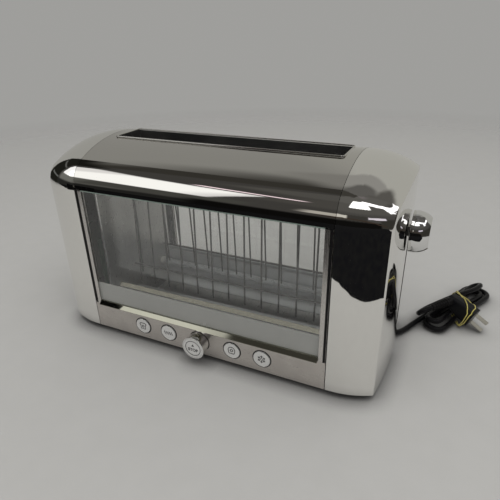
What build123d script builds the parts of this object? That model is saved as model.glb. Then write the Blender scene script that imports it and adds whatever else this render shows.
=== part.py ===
"""Long-slot toaster with glass sides, in millimetres, +Z up, its base on z = 0."""

import math
import os

from build123d import *

os.makedirs("parts", exist_ok=True)

# Outline of the body
TOP = 231.0  # crown above the table
HALF_DEPTH = 88.0
HALF_SEAM = 145.5  # middle of the body to a seam between shell and end cover
COVER_LENGTH = 53.1
HALF_LENGTH = HALF_SEAM + COVER_LENGTH
SHOULDER_R = HALF_DEPTH * 34 / 88  # the crown's bends keep their share of the depth
CROWN_R = HALF_DEPTH * 117 / 88 + SHOULDER_R
COVER_FOOT = 7.5  # lower edge of covers and panels above the table
COVER_BEND_X = HALF_SEAM + 4.5  # where a cover's front starts to bend back
COVER_BEND_R = HALF_DEPTH - 2.0
COVER_END_R = 488.0
COVER_EDGE_R = 3.0
COVER_WALL = 1.2
COVER_STATIONS = 10
SEAM_GAP = 0.4
SHEET = 1.0
FIT = 0.3  # gap between pieces that only lie beside each other
RUNNING = 0.05  # radial gap of a shaft in its hole

# Window and control panel
PANEL_TOP = 40.7
WINDOW_TOP = TOP - 46.0
TRIM_WIDTH = 7.3
TRIM_DEPTH = 5.4
TRIM_SHEET = 0.8
GLASS = 3.0
GLASS_SLACK = 0.1
RAIL_TOP = PANEL_TOP + 4.3
INNER_GLASS_Y = HALF_DEPTH - 24.0
INNER_GLASS = 2.0
INNER_RAIL_LOW = PANEL_TOP + 9.3
INNER_RAIL_TOP = INNER_RAIL_LOW + 4.0
INNER_GLASS_TOP = TOP - 35.0

# Bread slot and chamber
SLOT_LENGTH = 2 * (HALF_SEAM - 11.8)
SLOT_WIDTH = 45.4
SLOT_CORNER = 3.0
LINER_FOOT = TOP - 22.0
END_PLATE_X = HALF_SEAM - 7.5
END_PLATE_HALF = INNER_GLASS_Y + 2.0
END_PLATE_TOP = TOP - 19.0
RACK_Z = END_PLATE_TOP - 5.0
RACK_Y = 25.5
RACK_LEAN = 2.2  # degrees from upright at rest
RACK_FOOT = 48.0
RACK_WIRES = 12
RACK_PITCH = 2 * (END_PLATE_X - 22.5) / (RACK_WIRES - 1)
RACK_WIRE_R = 1.0
RACK_ROD_R = 1.5
RACK_CROSS_Z = RACK_FOOT + 25.0
TUBE_R = 4.0
TUBE_WALL = 1.0
TUBE_Y = INNER_GLASS_Y - 18.0
LOWER_TUBE_Z = INNER_RAIL_LOW - 12.0
UPPER_TUBE_Z = END_PLATE_TOP - 13.0
HOLDER_R = 5.5
HOLDER_LENGTH = 5.0

# Carriage and lever
CARRIAGE_Z = RACK_Z - 50.0  # middle of the tongues, carriage raised
TRAVEL = CARRIAGE_Z - RACK_FOOT - 3.0
CARRIAGE_HALF = 8.0
CARRIAGE_WIRE_R = 1.25
TONGUE_HALF = 1.5
TONGUE_HEIGHT = 10.0
ROD_X = END_PLATE_X + 22.0
LEFT_ROD_X = END_PLATE_X + 17.0
ROD_Y = 24.0
ROD_R = 3.0
SLIDER_HALF = 8.0
SLIDER_LOW = CARRIAGE_Z - TONGUE_HEIGHT / 2
SLIDER_TOP = SLIDER_LOW + 2 * TONGUE_HEIGHT
BRACKET_SHEET = 1.6
LOWER_BRACKET_Z = 25.8
UPPER_BRACKET_Z = RACK_Z - 2.0
LEVER_Z = CARRIAGE_Z
LEVER_HALF = 3.0
LEVER_HEIGHT = 10.0
LEVER_SLOT = 8.8
KNOB_GAP = 1.6  # lever knob off the end cover
LEVER_KNOB_R = 21.0
LEVER_KNOB_LENGTH = 17.8
LEVER_KNOB_BELLY = 3.8  # widest place from the inner face

# Controls on the front panel
CONTROL_Z = (PANEL_TOP + COVER_FOOT + 0.2) / 2
BUTTON_X = (-76.6, -41.0, 41.0, 76.6)
BUTTON_R = 9.8
BUTTON_HOLE_R = BUTTON_R + 0.6
BUTTON_PROUD = 0.9
BUTTON_CAP = 3.5
BUTTON_TRAVEL = 1.0
SWITCH_DEPTH = 2.5
STEM_R = 3.0
DIAL_PROUD = 14.0
DIAL_R = 13.4
DIAL_BACK_R = DIAL_R - 1.2
DIAL_HOLE_R = DIAL_BACK_R + 0.8
DIAL_BACK_Y = HALF_DEPTH - 1.6
DIAL_WALL = 1.6
STOP_TRAVEL = 1.8
HOUSING_Y = HALF_DEPTH - 4.0
HOUSING_THICK = 3.5
BOARD_Y = HALF_DEPTH - 18.0
BOARD_THICK = 1.6
ENCODER_DEPTH = 8.0
BLOCK_LENGTH = 22.0  # terminal block
BLOCK_WIDTH = 18.0
BLOCK_HEIGHT = 14.0
RELAY_DEPTH = 9.0
RELAY_HEIGHT = 18.0

# Base, feet and crumb tray
BASE_FOOT = 9.5  # underside of the base pan above the table
BASE_THICK = 2.0
RIM_HEIGHT = 6.0
RIM_THICK = 1.5
FOOT_X = HALF_SEAM + 19.5
FOOT_Y = HALF_DEPTH - 18.0
FOOT_R = 8.0
SCREW_X = END_PLATE_X + 6.0
BASE_SCREWS = ((-SCREW_X, -50.0), (-SCREW_X, 50.0), (SCREW_X, -50.0), (SCREW_X, 0.0))
SCREW_R = 1.6
TRAY_HALF = END_PLATE_X - 20.0
TRAY_FRONT_Y = INNER_GLASS_Y
TRAY_SHEET = 1.0
TRAY_HEIGHT = 8.0

# Cord outlet in a recess under the right-hand end
RECESS_X = END_PLATE_X + 4.0
RECESS_LOW_Y = 12.0
RECESS_HIGH_Y = 57.0
RECESS_TOP = 22.0
NOTCH_Y = 43.0
NOTCH_WIDTH = 24.0
NOTCH_TOP = 15.0
NOTCH_DEPTH = 20.0  # how far in from the cover's end it is cut
GLAND_X = RECESS_X + 8.0
GLAND_Y = RECESS_LOW_Y + 8.0
GLAND_Z = 11.0
GLAND_TURN = 20.0  # degrees from +X towards the rear
GLAND_R = 5.5
GLAND_NECK_R = 4.5
GLAND_FLANGE_R = 7.0
GLAND_LENGTH = 20.0

# Cord, lying in a tied hank beside the toaster; hank sizes are along, across and up
CORD_R = 3.2
CORD_TIP_R = 4.2
CORD_START = 11.8  # straight stretch out of the gland
CORD_END = 15.0  # straight stretch into the hank
FREE_CORD = ((-8.4, 36.2, 7.8), (-0.4, 44.0, 4.8), (6.4, 55.5, 3.6))  # x from the cover's end
HANK_BESIDE = 57.4  # from the cover's end to the middle of the hank
HANK_X = HALF_LENGTH + HANK_BESIDE
HANK_Y = 120.3
HANK_TURN = 64.1  # degrees from +X to the hank's length
HANK_NEAR = 44.0  # waist of the hank to the folds at the plug's cord
HANK_FAR = 58.0  # waist of the hank to the folds at its far end
HANK_LOW = 5.4
HANK_STEP = 7.0  # height of one layer
HANK_PITCH = 3.7
HANK_WAIST = 3.0  # how far the runs are drawn in
HANK_OUTER = 16.8
RELIEF_START = (-46.0, 6.0, 26.0)
RELIEF_END = (-16.0, -3.0, 28.0)
RELIEF_R = 5.4
PLUG_FACE = (-13.0, -31.0, 15.0)
PLUG_DIP = 21.2  # degrees the blades point down
PLUG_WIDTH = 24.0
PLUG_THICK = 16.0
PLUG_LENGTH = 35.5
BLADE_HALF_PITCH = 6.35
BLADE_WIDTH = 6.35
BLADE_THICK = 1.5
BLADE_LENGTH = 16.5
STRANDS = (7.0, 10.0)  # places of the two strands along the hank
STRAND_WIDTH = 1.2
STRAND_THICK = 0.8
STRAND_CLEAR = 0.6
SLACK = 0.25

BASE_TOP = BASE_FOOT + BASE_THICK
KNOB_END = HALF_LENGTH + KNOB_GAP + LEVER_KNOB_LENGTH
DIAL_END = HALF_DEPTH + DIAL_PROUD
SHOULDER_Y = HALF_DEPTH - SHOULDER_R
CROWN_Z = TOP - CROWN_R
SHOULDER_Z = CROWN_Z + math.sqrt((CROWN_R - SHOULDER_R) ** 2 - SHOULDER_Y**2)
SHOULDER_TURN = 90 - math.degrees(math.asin(SHOULDER_Y / (CROWN_R - SHOULDER_R)))

# The frame's origin is under the middle of the whole toaster, knobs included
MIDDLE_X = (HALF_LENGTH - KNOB_END) / 2
MIDDLE_Y = (DIAL_END - HALF_DEPTH) / 2


def level(z):
    """Horizontal plane at a height, x and y counted from the middle of the body."""
    return Plane((MIDDLE_X, MIDDLE_Y, z), x_dir=(1, 0, 0), z_dir=(0, 0, 1))


def across(x):
    """Upright plane across the body, facing +X, with y and z on it."""
    return Plane((MIDDLE_X + x, MIDDLE_Y, 0), x_dir=(0, 1, 0), z_dir=(1, 0, 0))


def facing(y):
    """Upright plane along the body, facing the front, with x and z on it."""
    return Plane((MIDDLE_X, MIDDLE_Y + y, 0), x_dir=(1, 0, 0), z_dir=(0, -1, 0))


def write(piece, name):
    """Labels a finished piece and writes it to its file."""
    piece.part.label = name
    export_step(piece.part, f"parts/{name}.step")


def block(x, y, z, mode=Mode.ADD):
    """Adds a block between two values along each axis."""
    with BuildSketch(level(z[0])) as base:
        with Locations(((x[0] + x[1]) / 2, (y[0] + y[1]) / 2)):
            Rectangle(x[1] - x[0], y[1] - y[0])
    extrude(base.sketch, amount=z[1] - z[0], mode=mode)


def rod(plane, centre, radius, length, mode=Mode.ADD):
    """Adds a round bar from a plane along its normal."""
    with BuildSketch(plane) as end:
        with Locations(centre):
            Circle(radius)
    extrude(end.sketch, amount=length, mode=mode)


def section(x, inset, bottom):
    """Outline of the body across x, drawn in by inset."""
    side = HALF_DEPTH - inset
    with BuildSketch(across(x)) as outline:
        with BuildLine():
            CenterArc((SHOULDER_Y, SHOULDER_Z), SHOULDER_R - inset, 0, SHOULDER_TURN)
            CenterArc((0, CROWN_Z), CROWN_R - inset, SHOULDER_TURN, 180 - 2 * SHOULDER_TURN)
            CenterArc((-SHOULDER_Y, SHOULDER_Z), SHOULDER_R - inset, 180 - SHOULDER_TURN, SHOULDER_TURN)
            Polyline((-side, SHOULDER_Z), (-side, bottom), (side, bottom), (side, SHOULDER_Z))
        make_face()
    return outline.sketch


def footprint(z, inset):
    """Plan of the whole body at a height, drawn in by inset."""
    bend = COVER_BEND_R - inset
    with BuildSketch(level(z)) as plan:
        RectangleRounded(2 * (COVER_BEND_X + bend), 2 * (HALF_DEPTH - inset), bend)
        for side in (-1, 1):
            with Locations((side * (HALF_LENGTH - COVER_END_R), 0)):
                Circle(COVER_END_R - inset, mode=Mode.INTERSECT)
    return plan.sketch


def cover_drop(x, inset):
    """How far a cover's side lies inside the body's side at x."""
    bend = COVER_BEND_R - inset
    past = max(x - COVER_BEND_X, 0)
    return inset + bend - math.sqrt(bend**2 - past**2)


def end_form(start, inset, bottom):
    """Right-hand end of the body as a solid, from start outwards."""
    step = (HALF_LENGTH + 1 - start) / COVER_STATIONS
    places = [start + step * i for i in range(COVER_STATIONS + 1)]
    with BuildPart() as form:
        loft([section(x, cover_drop(x, inset), bottom) for x in places])
        with BuildSketch(level(0)):
            with Locations((HALF_LENGTH - COVER_END_R, 0)):
                Circle(COVER_END_R - inset)
        extrude(amount=TOP, mode=Mode.INTERSECT)
    return form.part


def make_end_covers():
    """Two deep polished covers; the right one has the lever slot and a cord notch."""
    seam = HALF_SEAM + SEAM_GAP
    with BuildPart() as blank:
        add(end_form(seam, 0, 0))
        fillet(blank.faces().sort_by(Axis.X)[-1].edges(), COVER_EDGE_R)
        add(end_form(seam - 1, COVER_WALL, -SHEET), mode=Mode.SUBTRACT)
        block((0, TOP), (-TOP, TOP), (-TOP, COVER_FOOT), Mode.SUBTRACT)
    with BuildPart() as left_end_cover:
        add(blank.part)
        mirror(about=across(0), mode=Mode.REPLACE)
    write(left_end_cover, "left_end_cover")
    slot_height = TRAVEL + LEVER_HEIGHT + 4
    with BuildPart() as right_end_cover:
        add(blank.part)
        with BuildSketch(across(HALF_LENGTH - 2 * COVER_WALL)):
            with Locations((0, LEVER_Z - TRAVEL / 2)):
                SlotOverall(slot_height, LEVER_SLOT, rotation=90)
        extrude(amount=4 * COVER_WALL, mode=Mode.SUBTRACT)
        with BuildSketch(across(HALF_LENGTH - NOTCH_DEPTH)) as notch:
            with Locations((NOTCH_Y, 0)):
                Rectangle(NOTCH_WIDTH, NOTCH_TOP, align=(Align.CENTER, Align.MIN))
            fillet(notch.vertices().group_by(Axis.Z)[-1], NOTCH_WIDTH / 4)
        extrude(amount=NOTCH_DEPTH, mode=Mode.SUBTRACT)
    write(right_end_cover, "right_end_cover")


def make_top_shell():
    """Crown between the seams, folded from one sheet, with the bread slot."""
    with BuildPart() as top_shell:
        extrude(section(-HALF_SEAM, 0, COVER_FOOT), amount=2 * HALF_SEAM)
        extrude(section(-HALF_SEAM, SHEET, 0), amount=2 * HALF_SEAM, mode=Mode.SUBTRACT)
        block((-HALF_SEAM, HALF_SEAM), (-HALF_DEPTH, HALF_DEPTH), (0, WINDOW_TOP), Mode.SUBTRACT)
        with BuildSketch(level(CROWN_Z)):
            RectangleRounded(SLOT_LENGTH, SLOT_WIDTH, SLOT_CORNER)
        extrude(amount=TOP, mode=Mode.SUBTRACT)
    write(top_shell, "top_shell")


def make_slot_liner():
    """Dark frame that lines the bread slot down to the racks."""
    length = SLOT_LENGTH - 2 * FIT
    width = SLOT_WIDTH - 2 * FIT
    with BuildPart() as slot_liner:
        with BuildSketch(level(LINER_FOOT)):
            RectangleRounded(length, width, SLOT_CORNER - FIT)
            RectangleRounded(length - 2 * SHEET, width - 2 * SHEET, SLOT_CORNER - FIT - SHEET, mode=Mode.SUBTRACT)
        extrude(amount=TOP - LINER_FOOT)
        extrude(section(-HALF_SEAM, SHEET / 2, 0), amount=2 * HALF_SEAM, mode=Mode.INTERSECT)
    write(slot_liner, "slot_liner")


def panel(openings, name, rear):
    """Folded sheet between the covers, with returns above and below."""
    half = HALF_SEAM - SEAM_GAP
    with BuildPart() as sheet:
        block((-half, half), (-HALF_DEPTH, SHEET - HALF_DEPTH), (COVER_FOOT, PANEL_TOP))
        for low in (COVER_FOOT, PANEL_TOP - SHEET):
            block((-half, half), (-HALF_DEPTH, TRIM_DEPTH - HALF_DEPTH), (low, low + SHEET))
        extrude(openings, amount=-2 * SHEET, both=True, mode=Mode.SUBTRACT)
        if rear:
            mirror(about=facing(0), mode=Mode.REPLACE)
    write(sheet, name)


def make_panels():
    """Brushed control panel in front and the rear panel with its tray opening."""
    with BuildSketch(facing(-HALF_DEPTH)) as controls:
        with Locations([(x, CONTROL_Z) for x in BUTTON_X]):
            Circle(BUTTON_HOLE_R)
        with Locations((0, CONTROL_Z)):
            Circle(DIAL_HOLE_R)
    panel(controls.sketch, "front_panel", rear=False)
    with BuildSketch(facing(-HALF_DEPTH)) as mouth:
        with Locations((0, BASE_TOP)):
            Rectangle(2 * (TRAY_HALF + FIT), TRAY_HEIGHT + 3 * FIT, align=(Align.CENTER, Align.MIN))
    panel(mouth.sketch, "rear_panel", rear=True)


def make_windows():
    """Front and rear windows: outer panes in upright trims and a foot rail."""
    face = HALF_DEPTH - GLASS_SLACK
    groove = (face - TRIM_SHEET, face - TRIM_SHEET - GLASS - 2 * GLASS_SLACK)
    outer = HALF_SEAM - TRIM_SHEET
    inner = outer - TRIM_WIDTH
    pane = outer - TRIM_WIDTH / 3
    with BuildPart() as side_trims:
        for side in (-1, 1):
            x = sorted((side * inner, side * outer))
            web = sorted((side * inner, side * (pane + FIT)))
            block(x, (-face, TRIM_DEPTH - face), (PANEL_TOP, WINDOW_TOP))
            block(web, (-groove[0], -groove[1]), (PANEL_TOP, WINDOW_TOP), Mode.SUBTRACT)
        mirror(about=facing(0))
    write(side_trims, "side_trims")
    for name, rear in (("front", False), ("rear", True)):
        with BuildPart() as rail:
            half = inner - FIT
            block((-half, half), (-face, TRIM_DEPTH - face), (PANEL_TOP, RAIL_TOP))
            block((-half, half), (-groove[0], -groove[1]), (PANEL_TOP + SHEET, RAIL_TOP), Mode.SUBTRACT)
            if rear:
                mirror(about=facing(0), mode=Mode.REPLACE)
        write(rail, f"{name}_glass_rail")
        with BuildPart() as glass:
            depth = (-groove[0] + GLASS_SLACK, -groove[1] - GLASS_SLACK)
            block((-pane, pane), depth, (PANEL_TOP + SHEET, WINDOW_TOP - SHEET))
            if rear:
                mirror(about=facing(0), mode=Mode.REPLACE)
        write(glass, f"{name}_outer_glass")
    half = END_PLATE_X - FIT
    with BuildPart() as inner_glasses:
        for y in (-INNER_GLASS_Y, INNER_GLASS_Y):
            across_pane = (y - INNER_GLASS / 2, y + INNER_GLASS / 2)
            block((-half, half), across_pane, (INNER_RAIL_TOP, INNER_GLASS_TOP))
    write(inner_glasses, "inner_glasses")
    with BuildPart() as inner_glass_rails:
        for y in (-INNER_GLASS_Y, INNER_GLASS_Y):
            block((-half, half), (y - INNER_GLASS, y + INNER_GLASS), (INNER_RAIL_LOW, INNER_RAIL_TOP))
    write(inner_glass_rails, "inner_glass_rails")


def reflectors(points, name):
    """Bent polished sheet between the end plates, seen across as points, and its twin."""
    with BuildPart() as sheets:
        with BuildSketch(across(-END_PLATE_X + FIT)):
            with BuildLine():
                FilletPolyline(*points, radius=TUBE_R + SHEET)
            trace(line_width=TRIM_SHEET)
        extrude(amount=2 * (END_PLATE_X - FIT))
        mirror(about=facing(0))
    write(sheets, name)


def make_reflectors():
    """Four reflectors, one behind each heater tube."""
    edge = -INNER_GLASS_Y + INNER_GLASS + FIT + TRIM_SHEET
    outside = -TUBE_Y - 2.5 * TUBE_R
    inside = -TUBE_Y + 2.5 * TUBE_R
    low = LOWER_TUBE_Z - 2.5 * TUBE_R
    high = UPPER_TUBE_Z + 2.2 * TUBE_R
    lower = [(edge, INNER_RAIL_LOW), (outside, LOWER_TUBE_Z - TUBE_R), (-TUBE_Y, low), (-TUBE_R * 3, low)]
    upper = [(edge, INNER_GLASS_TOP + FIT), (outside, high - TUBE_R), (-TUBE_Y, high), (inside, high - TUBE_R)]
    reflectors(lower, "lower_reflectors")
    reflectors(upper, "upper_reflectors")


def make_heaters():
    """Four quartz tubes with their coils, held by ceramic ends on the end plates."""
    places = [(y, z) for y in (-TUBE_Y, TUBE_Y) for z in (LOWER_TUBE_Z, UPPER_TUBE_Z)]
    half = END_PLATE_X - HOLDER_LENGTH
    with BuildPart() as heater_tubes:
        with BuildSketch(across(-half)):
            with Locations(places):
                Circle(TUBE_R)
                Circle(TUBE_R - TUBE_WALL, mode=Mode.SUBTRACT)
        extrude(amount=2 * half)
    write(heater_tubes, "heater_tubes")
    with BuildPart() as heater_coils:
        with BuildSketch(across(-half)):
            with Locations(places):
                Circle(TUBE_R - TUBE_WALL - FIT)
        extrude(amount=2 * half)
    write(heater_coils, "heater_coils")
    with BuildPart() as heater_holders:
        for start in (-END_PLATE_X, half):
            with BuildSketch(across(start)):
                with Locations(places):
                    Circle(HOLDER_R)
            extrude(amount=HOLDER_LENGTH)
    write(heater_holders, "heater_holders")


def end_plate(side, name):
    """Inner end wall with a lift slot, rack bearings and a foot flange."""
    start = END_PLATE_X if side > 0 else -END_PLATE_X - SHEET
    flange_end = RECESS_LOW_Y - 3 * FIT - BRACKET_SHEET if side > 0 else END_PLATE_HALF
    slot_low = CARRIAGE_Z - TRAVEL - TONGUE_HEIGHT
    slot_high = CARRIAGE_Z + TONGUE_HEIGHT
    with BuildPart() as plate:
        block((start, start + SHEET), (-END_PLATE_HALF, END_PLATE_HALF), (BASE_TOP, END_PLATE_TOP))
        x = sorted((side * END_PLATE_X, side * (END_PLATE_X + 11)))
        block(x, (-END_PLATE_HALF, flange_end), (BASE_TOP, BASE_TOP + SHEET))
        with BuildSketch(level(BASE_TOP)):
            with Locations([place for place in BASE_SCREWS if place[0] * side > 0]):
                Circle(SCREW_R + RUNNING)
        extrude(amount=SHEET, mode=Mode.SUBTRACT)
        slot = (-TONGUE_HALF - SHEET, TONGUE_HALF + SHEET)
        block((start, start + SHEET), slot, (slot_low, slot_high), Mode.SUBTRACT)
        with BuildSketch(across(start)):
            with Locations((-RACK_Y, RACK_Z), (RACK_Y, RACK_Z)):
                Circle(RACK_ROD_R + RUNNING)
        extrude(amount=SHEET, mode=Mode.SUBTRACT)
    write(plate, name)


def guide_rack(name, rear):
    """Wire rack that hangs from a rod in the end plates and leans out below."""
    half = END_PLATE_X + SHEET
    drop = RACK_Z - RACK_FOOT
    pivot = level(RACK_Z).from_local_coords((0, -RACK_Y, 0))
    hang = Plane(pivot).rotated((-RACK_LEAN, 0, 0))
    cross = Plane(pivot, x_dir=hang.y_dir, z_dir=(1, 0, 0))
    first = -RACK_PITCH * (RACK_WIRES - 1) / 2
    wires = [(first + RACK_PITCH * i, 0) for i in range(RACK_WIRES)]
    reach = -first + RACK_PITCH / 3
    with BuildPart() as rack:
        rod(cross.offset(-half), (0, 0), RACK_ROD_R, 2 * half)
        with BuildSketch(hang) as tops:
            with Locations(wires):
                Circle(RACK_WIRE_R)
        extrude(tops.sketch, amount=-drop)
        rod(cross.offset(-reach), (-RACK_WIRE_R * 1.5, RACK_CROSS_Z - RACK_Z), RACK_WIRE_R, 2 * reach)
        if rear:
            mirror(about=facing(0), mode=Mode.REPLACE)
    write(rack, name)


def make_chamber():
    """End plates and the two guide racks."""
    end_plate(-1, "left_end_plate")
    end_plate(1, "right_end_plate")
    guide_rack("front_guide_rack", rear=False)
    guide_rack("rear_guide_rack", rear=True)


def make_carriage():
    """Wire carriage that lifts the bread, with a tongue through each end plate."""
    inside = END_PLATE_X - HOLDER_LENGTH
    rail_half = inside - CARRIAGE_WIRE_R
    right_end = ROD_X - SLIDER_HALF
    left_end = -LEFT_ROD_X + SLIDER_HALF
    spans = RACK_WIRES - 1
    with BuildPart() as bread_carriage:
        for y in (-CARRIAGE_HALF, CARRIAGE_HALF):
            rod(across(-rail_half), (y, CARRIAGE_Z), CARRIAGE_WIRE_R, 2 * rail_half)
        for i in range(spans):
            x = RACK_PITCH * (i - (spans - 1) / 2)
            rod(facing(CARRIAGE_HALF), (x, CARRIAGE_Z), CARRIAGE_WIRE_R, 2 * CARRIAGE_HALF)
        tongue = (CARRIAGE_Z - TONGUE_HEIGHT / 2, CARRIAGE_Z + TONGUE_HEIGHT / 2)
        bar = (-CARRIAGE_HALF - CARRIAGE_WIRE_R, CARRIAGE_HALF + CARRIAGE_WIRE_R)
        for low, high, tip in ((-inside, -rail_half, left_end), (rail_half, inside, right_end)):
            block((low, high), bar, tongue)
            block(sorted((low, tip)), (-TONGUE_HALF, TONGUE_HALF), tongue)
    write(bread_carriage, "bread_carriage")


def make_sliders():
    """Blocks that run on the guide rods at each end."""
    with BuildPart() as right_slider:
        x = (ROD_X - SLIDER_HALF, ROD_X + SLIDER_HALF)
        y = ROD_Y + SLIDER_HALF
        block(x, (-y, y), (SLIDER_LOW, SLIDER_TOP))
        for place in (-ROD_Y, ROD_Y):
            rod(level(SLIDER_LOW), (ROD_X, place), ROD_R + RUNNING, SLIDER_TOP - SLIDER_LOW, Mode.SUBTRACT)
        chamfer(right_slider.faces().sort_by(Axis.X)[-1].edges().filter_by(Axis.Z), SHEET)
    write(right_slider, "right_slider")
    with BuildPart() as left_slider:
        x = (-LEFT_ROD_X - SLIDER_HALF, -LEFT_ROD_X + SLIDER_HALF)
        block(x, (-SLIDER_HALF, SLIDER_HALF), (SLIDER_LOW, SLIDER_TOP))
        rod(level(SLIDER_LOW), (-LEFT_ROD_X, 0), ROD_R + RUNNING, SLIDER_TOP - SLIDER_LOW, Mode.SUBTRACT)
    write(left_slider, "left_slider")
    with BuildPart() as keeper_plate:
        y = ROD_Y / 2
        block((ROD_X - ROD_R, ROD_X + ROD_R), (-y, y), (SLIDER_LOW - 1.8, SLIDER_LOW))
    write(keeper_plate, "keeper_plate")


def make_lever():
    """Flat arm through the end cover and the chrome knob on it."""
    arm_end = HALF_LENGTH + KNOB_GAP + LEVER_KNOB_BELLY
    with BuildPart() as lever_arm:
        z = (LEVER_Z - LEVER_HEIGHT / 2, LEVER_Z + LEVER_HEIGHT / 2)
        block((ROD_X + SLIDER_HALF, arm_end), (-LEVER_HALF, LEVER_HALF), z)
    write(lever_arm, "lever_arm")
    inner = HALF_LENGTH + KNOB_GAP
    axis = Axis(across(0).from_local_coords((0, LEVER_Z, 0)), (1, 0, 0))
    turn = Plane(axis.position, x_dir=(1, 0, 0), z_dir=(0, -1, 0))
    arc_r = LEVER_KNOB_R - 1
    belly = inner + LEVER_KNOB_BELLY
    with BuildPart() as lever_knob:
        with BuildSketch(turn) as half_profile:
            with Locations((belly, LEVER_KNOB_R - arc_r)):
                Circle(arc_r)
            with Locations((inner, 0)):
                length = LEVER_KNOB_LENGTH
                Rectangle(length, LEVER_KNOB_R, align=(Align.MIN, Align.MIN), mode=Mode.INTERSECT)
            fillet(half_profile.vertices().group_by(Axis.Z)[-1], SHEET / 2)
        revolve(axis=axis)
        z = (LEVER_Z - LEVER_HEIGHT / 2, LEVER_Z + LEVER_HEIGHT / 2)
        block((inner, arm_end), (-LEVER_HALF, LEVER_HALF), z, Mode.SUBTRACT)
    write(lever_knob, "lever_knob")


def rod_brackets(z, fold, name):
    """Folded brackets on both end plates that hold the ends of the guide rods."""
    root = END_PLATE_X + SHEET
    wide = ROD_Y + SLIDER_HALF
    with BuildPart() as brackets:
        for side, tip, half in ((1, ROD_X + SLIDER_HALF, wide), (-1, LEFT_ROD_X + SLIDER_HALF, SLIDER_HALF)):
            block(sorted((side * root, side * tip)), (-half, half), (z, z + BRACKET_SHEET))
            block(sorted((side * root, side * (root + BRACKET_SHEET))), (-half, half), fold)
    write(brackets, name)


def make_guides():
    """Guide rods, their brackets, the lift spring and the magnet that holds it down."""
    low = LOWER_BRACKET_Z + BRACKET_SHEET
    rod_brackets(LOWER_BRACKET_Z, (LOWER_BRACKET_Z, low + 5 * BRACKET_SHEET), "lower_rod_brackets")
    upper = UPPER_BRACKET_Z + BRACKET_SHEET
    rod_brackets(UPPER_BRACKET_Z, (upper - 4 * BRACKET_SHEET, upper), "upper_rod_brackets")
    with BuildPart() as guide_rods:
        with BuildSketch(level(low)):
            with Locations((ROD_X, -ROD_Y), (ROD_X, ROD_Y), (-LEFT_ROD_X, 0)):
                Circle(ROD_R)
        extrude(amount=UPPER_BRACKET_Z - low)
    write(guide_rods, "guide_rods")
    with BuildPart() as lift_spring:
        with BuildSketch(level(SLIDER_TOP)):
            with Locations((ROD_X, 0)):
                Circle(2 * ROD_R)
                Circle(1.5 * ROD_R, mode=Mode.SUBTRACT)
        extrude(amount=UPPER_BRACKET_Z - SLIDER_TOP)
    write(lift_spring, "lift_spring")
    with BuildPart() as hold_magnet:
        top = SLIDER_LOW - TRAVEL - 2.0
        y = ROD_Y / 2
        block((ROD_X - SLIDER_HALF, ROD_X + SLIDER_HALF), (-y, y), (low, top))
        for place in (-y / 2, y / 2):
            block((ROD_X - SLIDER_HALF, ROD_X + SLIDER_HALF), (place - 1, place + 1), (top - 3, top), Mode.SUBTRACT)
    write(hold_magnet, "hold_magnet")


def make_buttons():
    """Four push buttons and the switches behind them."""
    names = ("slice_button", "reheat_button", "bagel_button", "frozen_button")
    front = -HALF_DEPTH - BUTTON_PROUD
    back = front + BUTTON_CAP
    switch_front = -BOARD_Y - SWITCH_DEPTH
    stem_end = switch_front - BUTTON_TRAVEL - SHEET / 10
    for x, name in zip(BUTTON_X, names):
        with BuildPart() as button:
            rod(facing(back), (x, CONTROL_Z), BUTTON_R, BUTTON_CAP)
            fillet(button.faces().sort_by(Axis.Y)[0].edges(), SHEET / 2)
            rod(facing(stem_end), (x, CONTROL_Z), STEM_R, stem_end - back)
        write(button, name)
    with BuildPart() as button_switches:
        for x in BUTTON_X:
            rod(facing(-BOARD_Y), (x, CONTROL_Z), STEM_R / 2, SWITCH_DEPTH)
            square = (CONTROL_Z - STEM_R, CONTROL_Z + STEM_R)
            block((x - STEM_R, x + STEM_R), (-BOARD_Y - 0.8 * SWITCH_DEPTH, -BOARD_Y), square)
    write(button_switches, "button_switches")


def make_dial():
    """Browning knob with its satin face, on a shaft that is pushed to stop."""
    axis = Axis(level(CONTROL_Z).origin, (0, -1, 0))
    turn = Plane(axis.position, x_dir=(0, -1, 0), z_dir=(1, 0, 0))
    face_r = DIAL_R - 2
    seat = DIAL_END - SHEET
    bore_end = seat - SHEET
    hub_back = seat - 5
    with BuildPart() as browning_knob:
        with BuildSketch(turn):
            with BuildLine():
                Polyline(
                    (DIAL_BACK_Y, DIAL_BACK_R - DIAL_WALL),
                    (DIAL_BACK_Y, DIAL_BACK_R),
                    (DIAL_END - 3, DIAL_R - SHEET / 2),
                    (DIAL_END - 1.5, DIAL_R),
                    (DIAL_END, DIAL_R),
                    (DIAL_END, face_r),
                    (seat, face_r),
                    (seat, 0),
                    (bore_end, 0),
                    (bore_end, STEM_R + RUNNING),
                    (hub_back, STEM_R + RUNNING),
                    (hub_back, DIAL_BACK_R - DIAL_WALL),
                    close=True,
                )
            make_face()
        revolve(axis=axis)
    write(browning_knob, "browning_knob")
    with BuildPart() as knob_face:
        rod(facing(-seat), (0, CONTROL_Z), face_r - RUNNING, SHEET)
        with BuildSketch(facing(-DIAL_END)):
            with Locations((0, CONTROL_Z)):
                Circle(face_r - 2)
                Circle(face_r - 2.6, mode=Mode.SUBTRACT)
        extrude(amount=SHEET / 3, both=True, mode=Mode.SUBTRACT)
    write(knob_face, "knob_face")
    shaft_end = BOARD_Y + STOP_TRAVEL + SHEET / 2
    with BuildPart() as knob_shaft:
        rod(facing(-shaft_end), (0, CONTROL_Z), STEM_R, bore_end - RUNNING - shaft_end)
    write(knob_shaft, "knob_shaft")
    with BuildPart() as knob_encoder:
        half = 2.2 * STEM_R
        block((-half, half), (-BOARD_Y - ENCODER_DEPTH, -BOARD_Y), (CONTROL_Z - half, CONTROL_Z + half))
        rod(facing(-BOARD_Y), (0, CONTROL_Z), STEM_R + RUNNING, ENCODER_DEPTH, Mode.SUBTRACT)
    write(knob_encoder, "knob_encoder")


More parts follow.
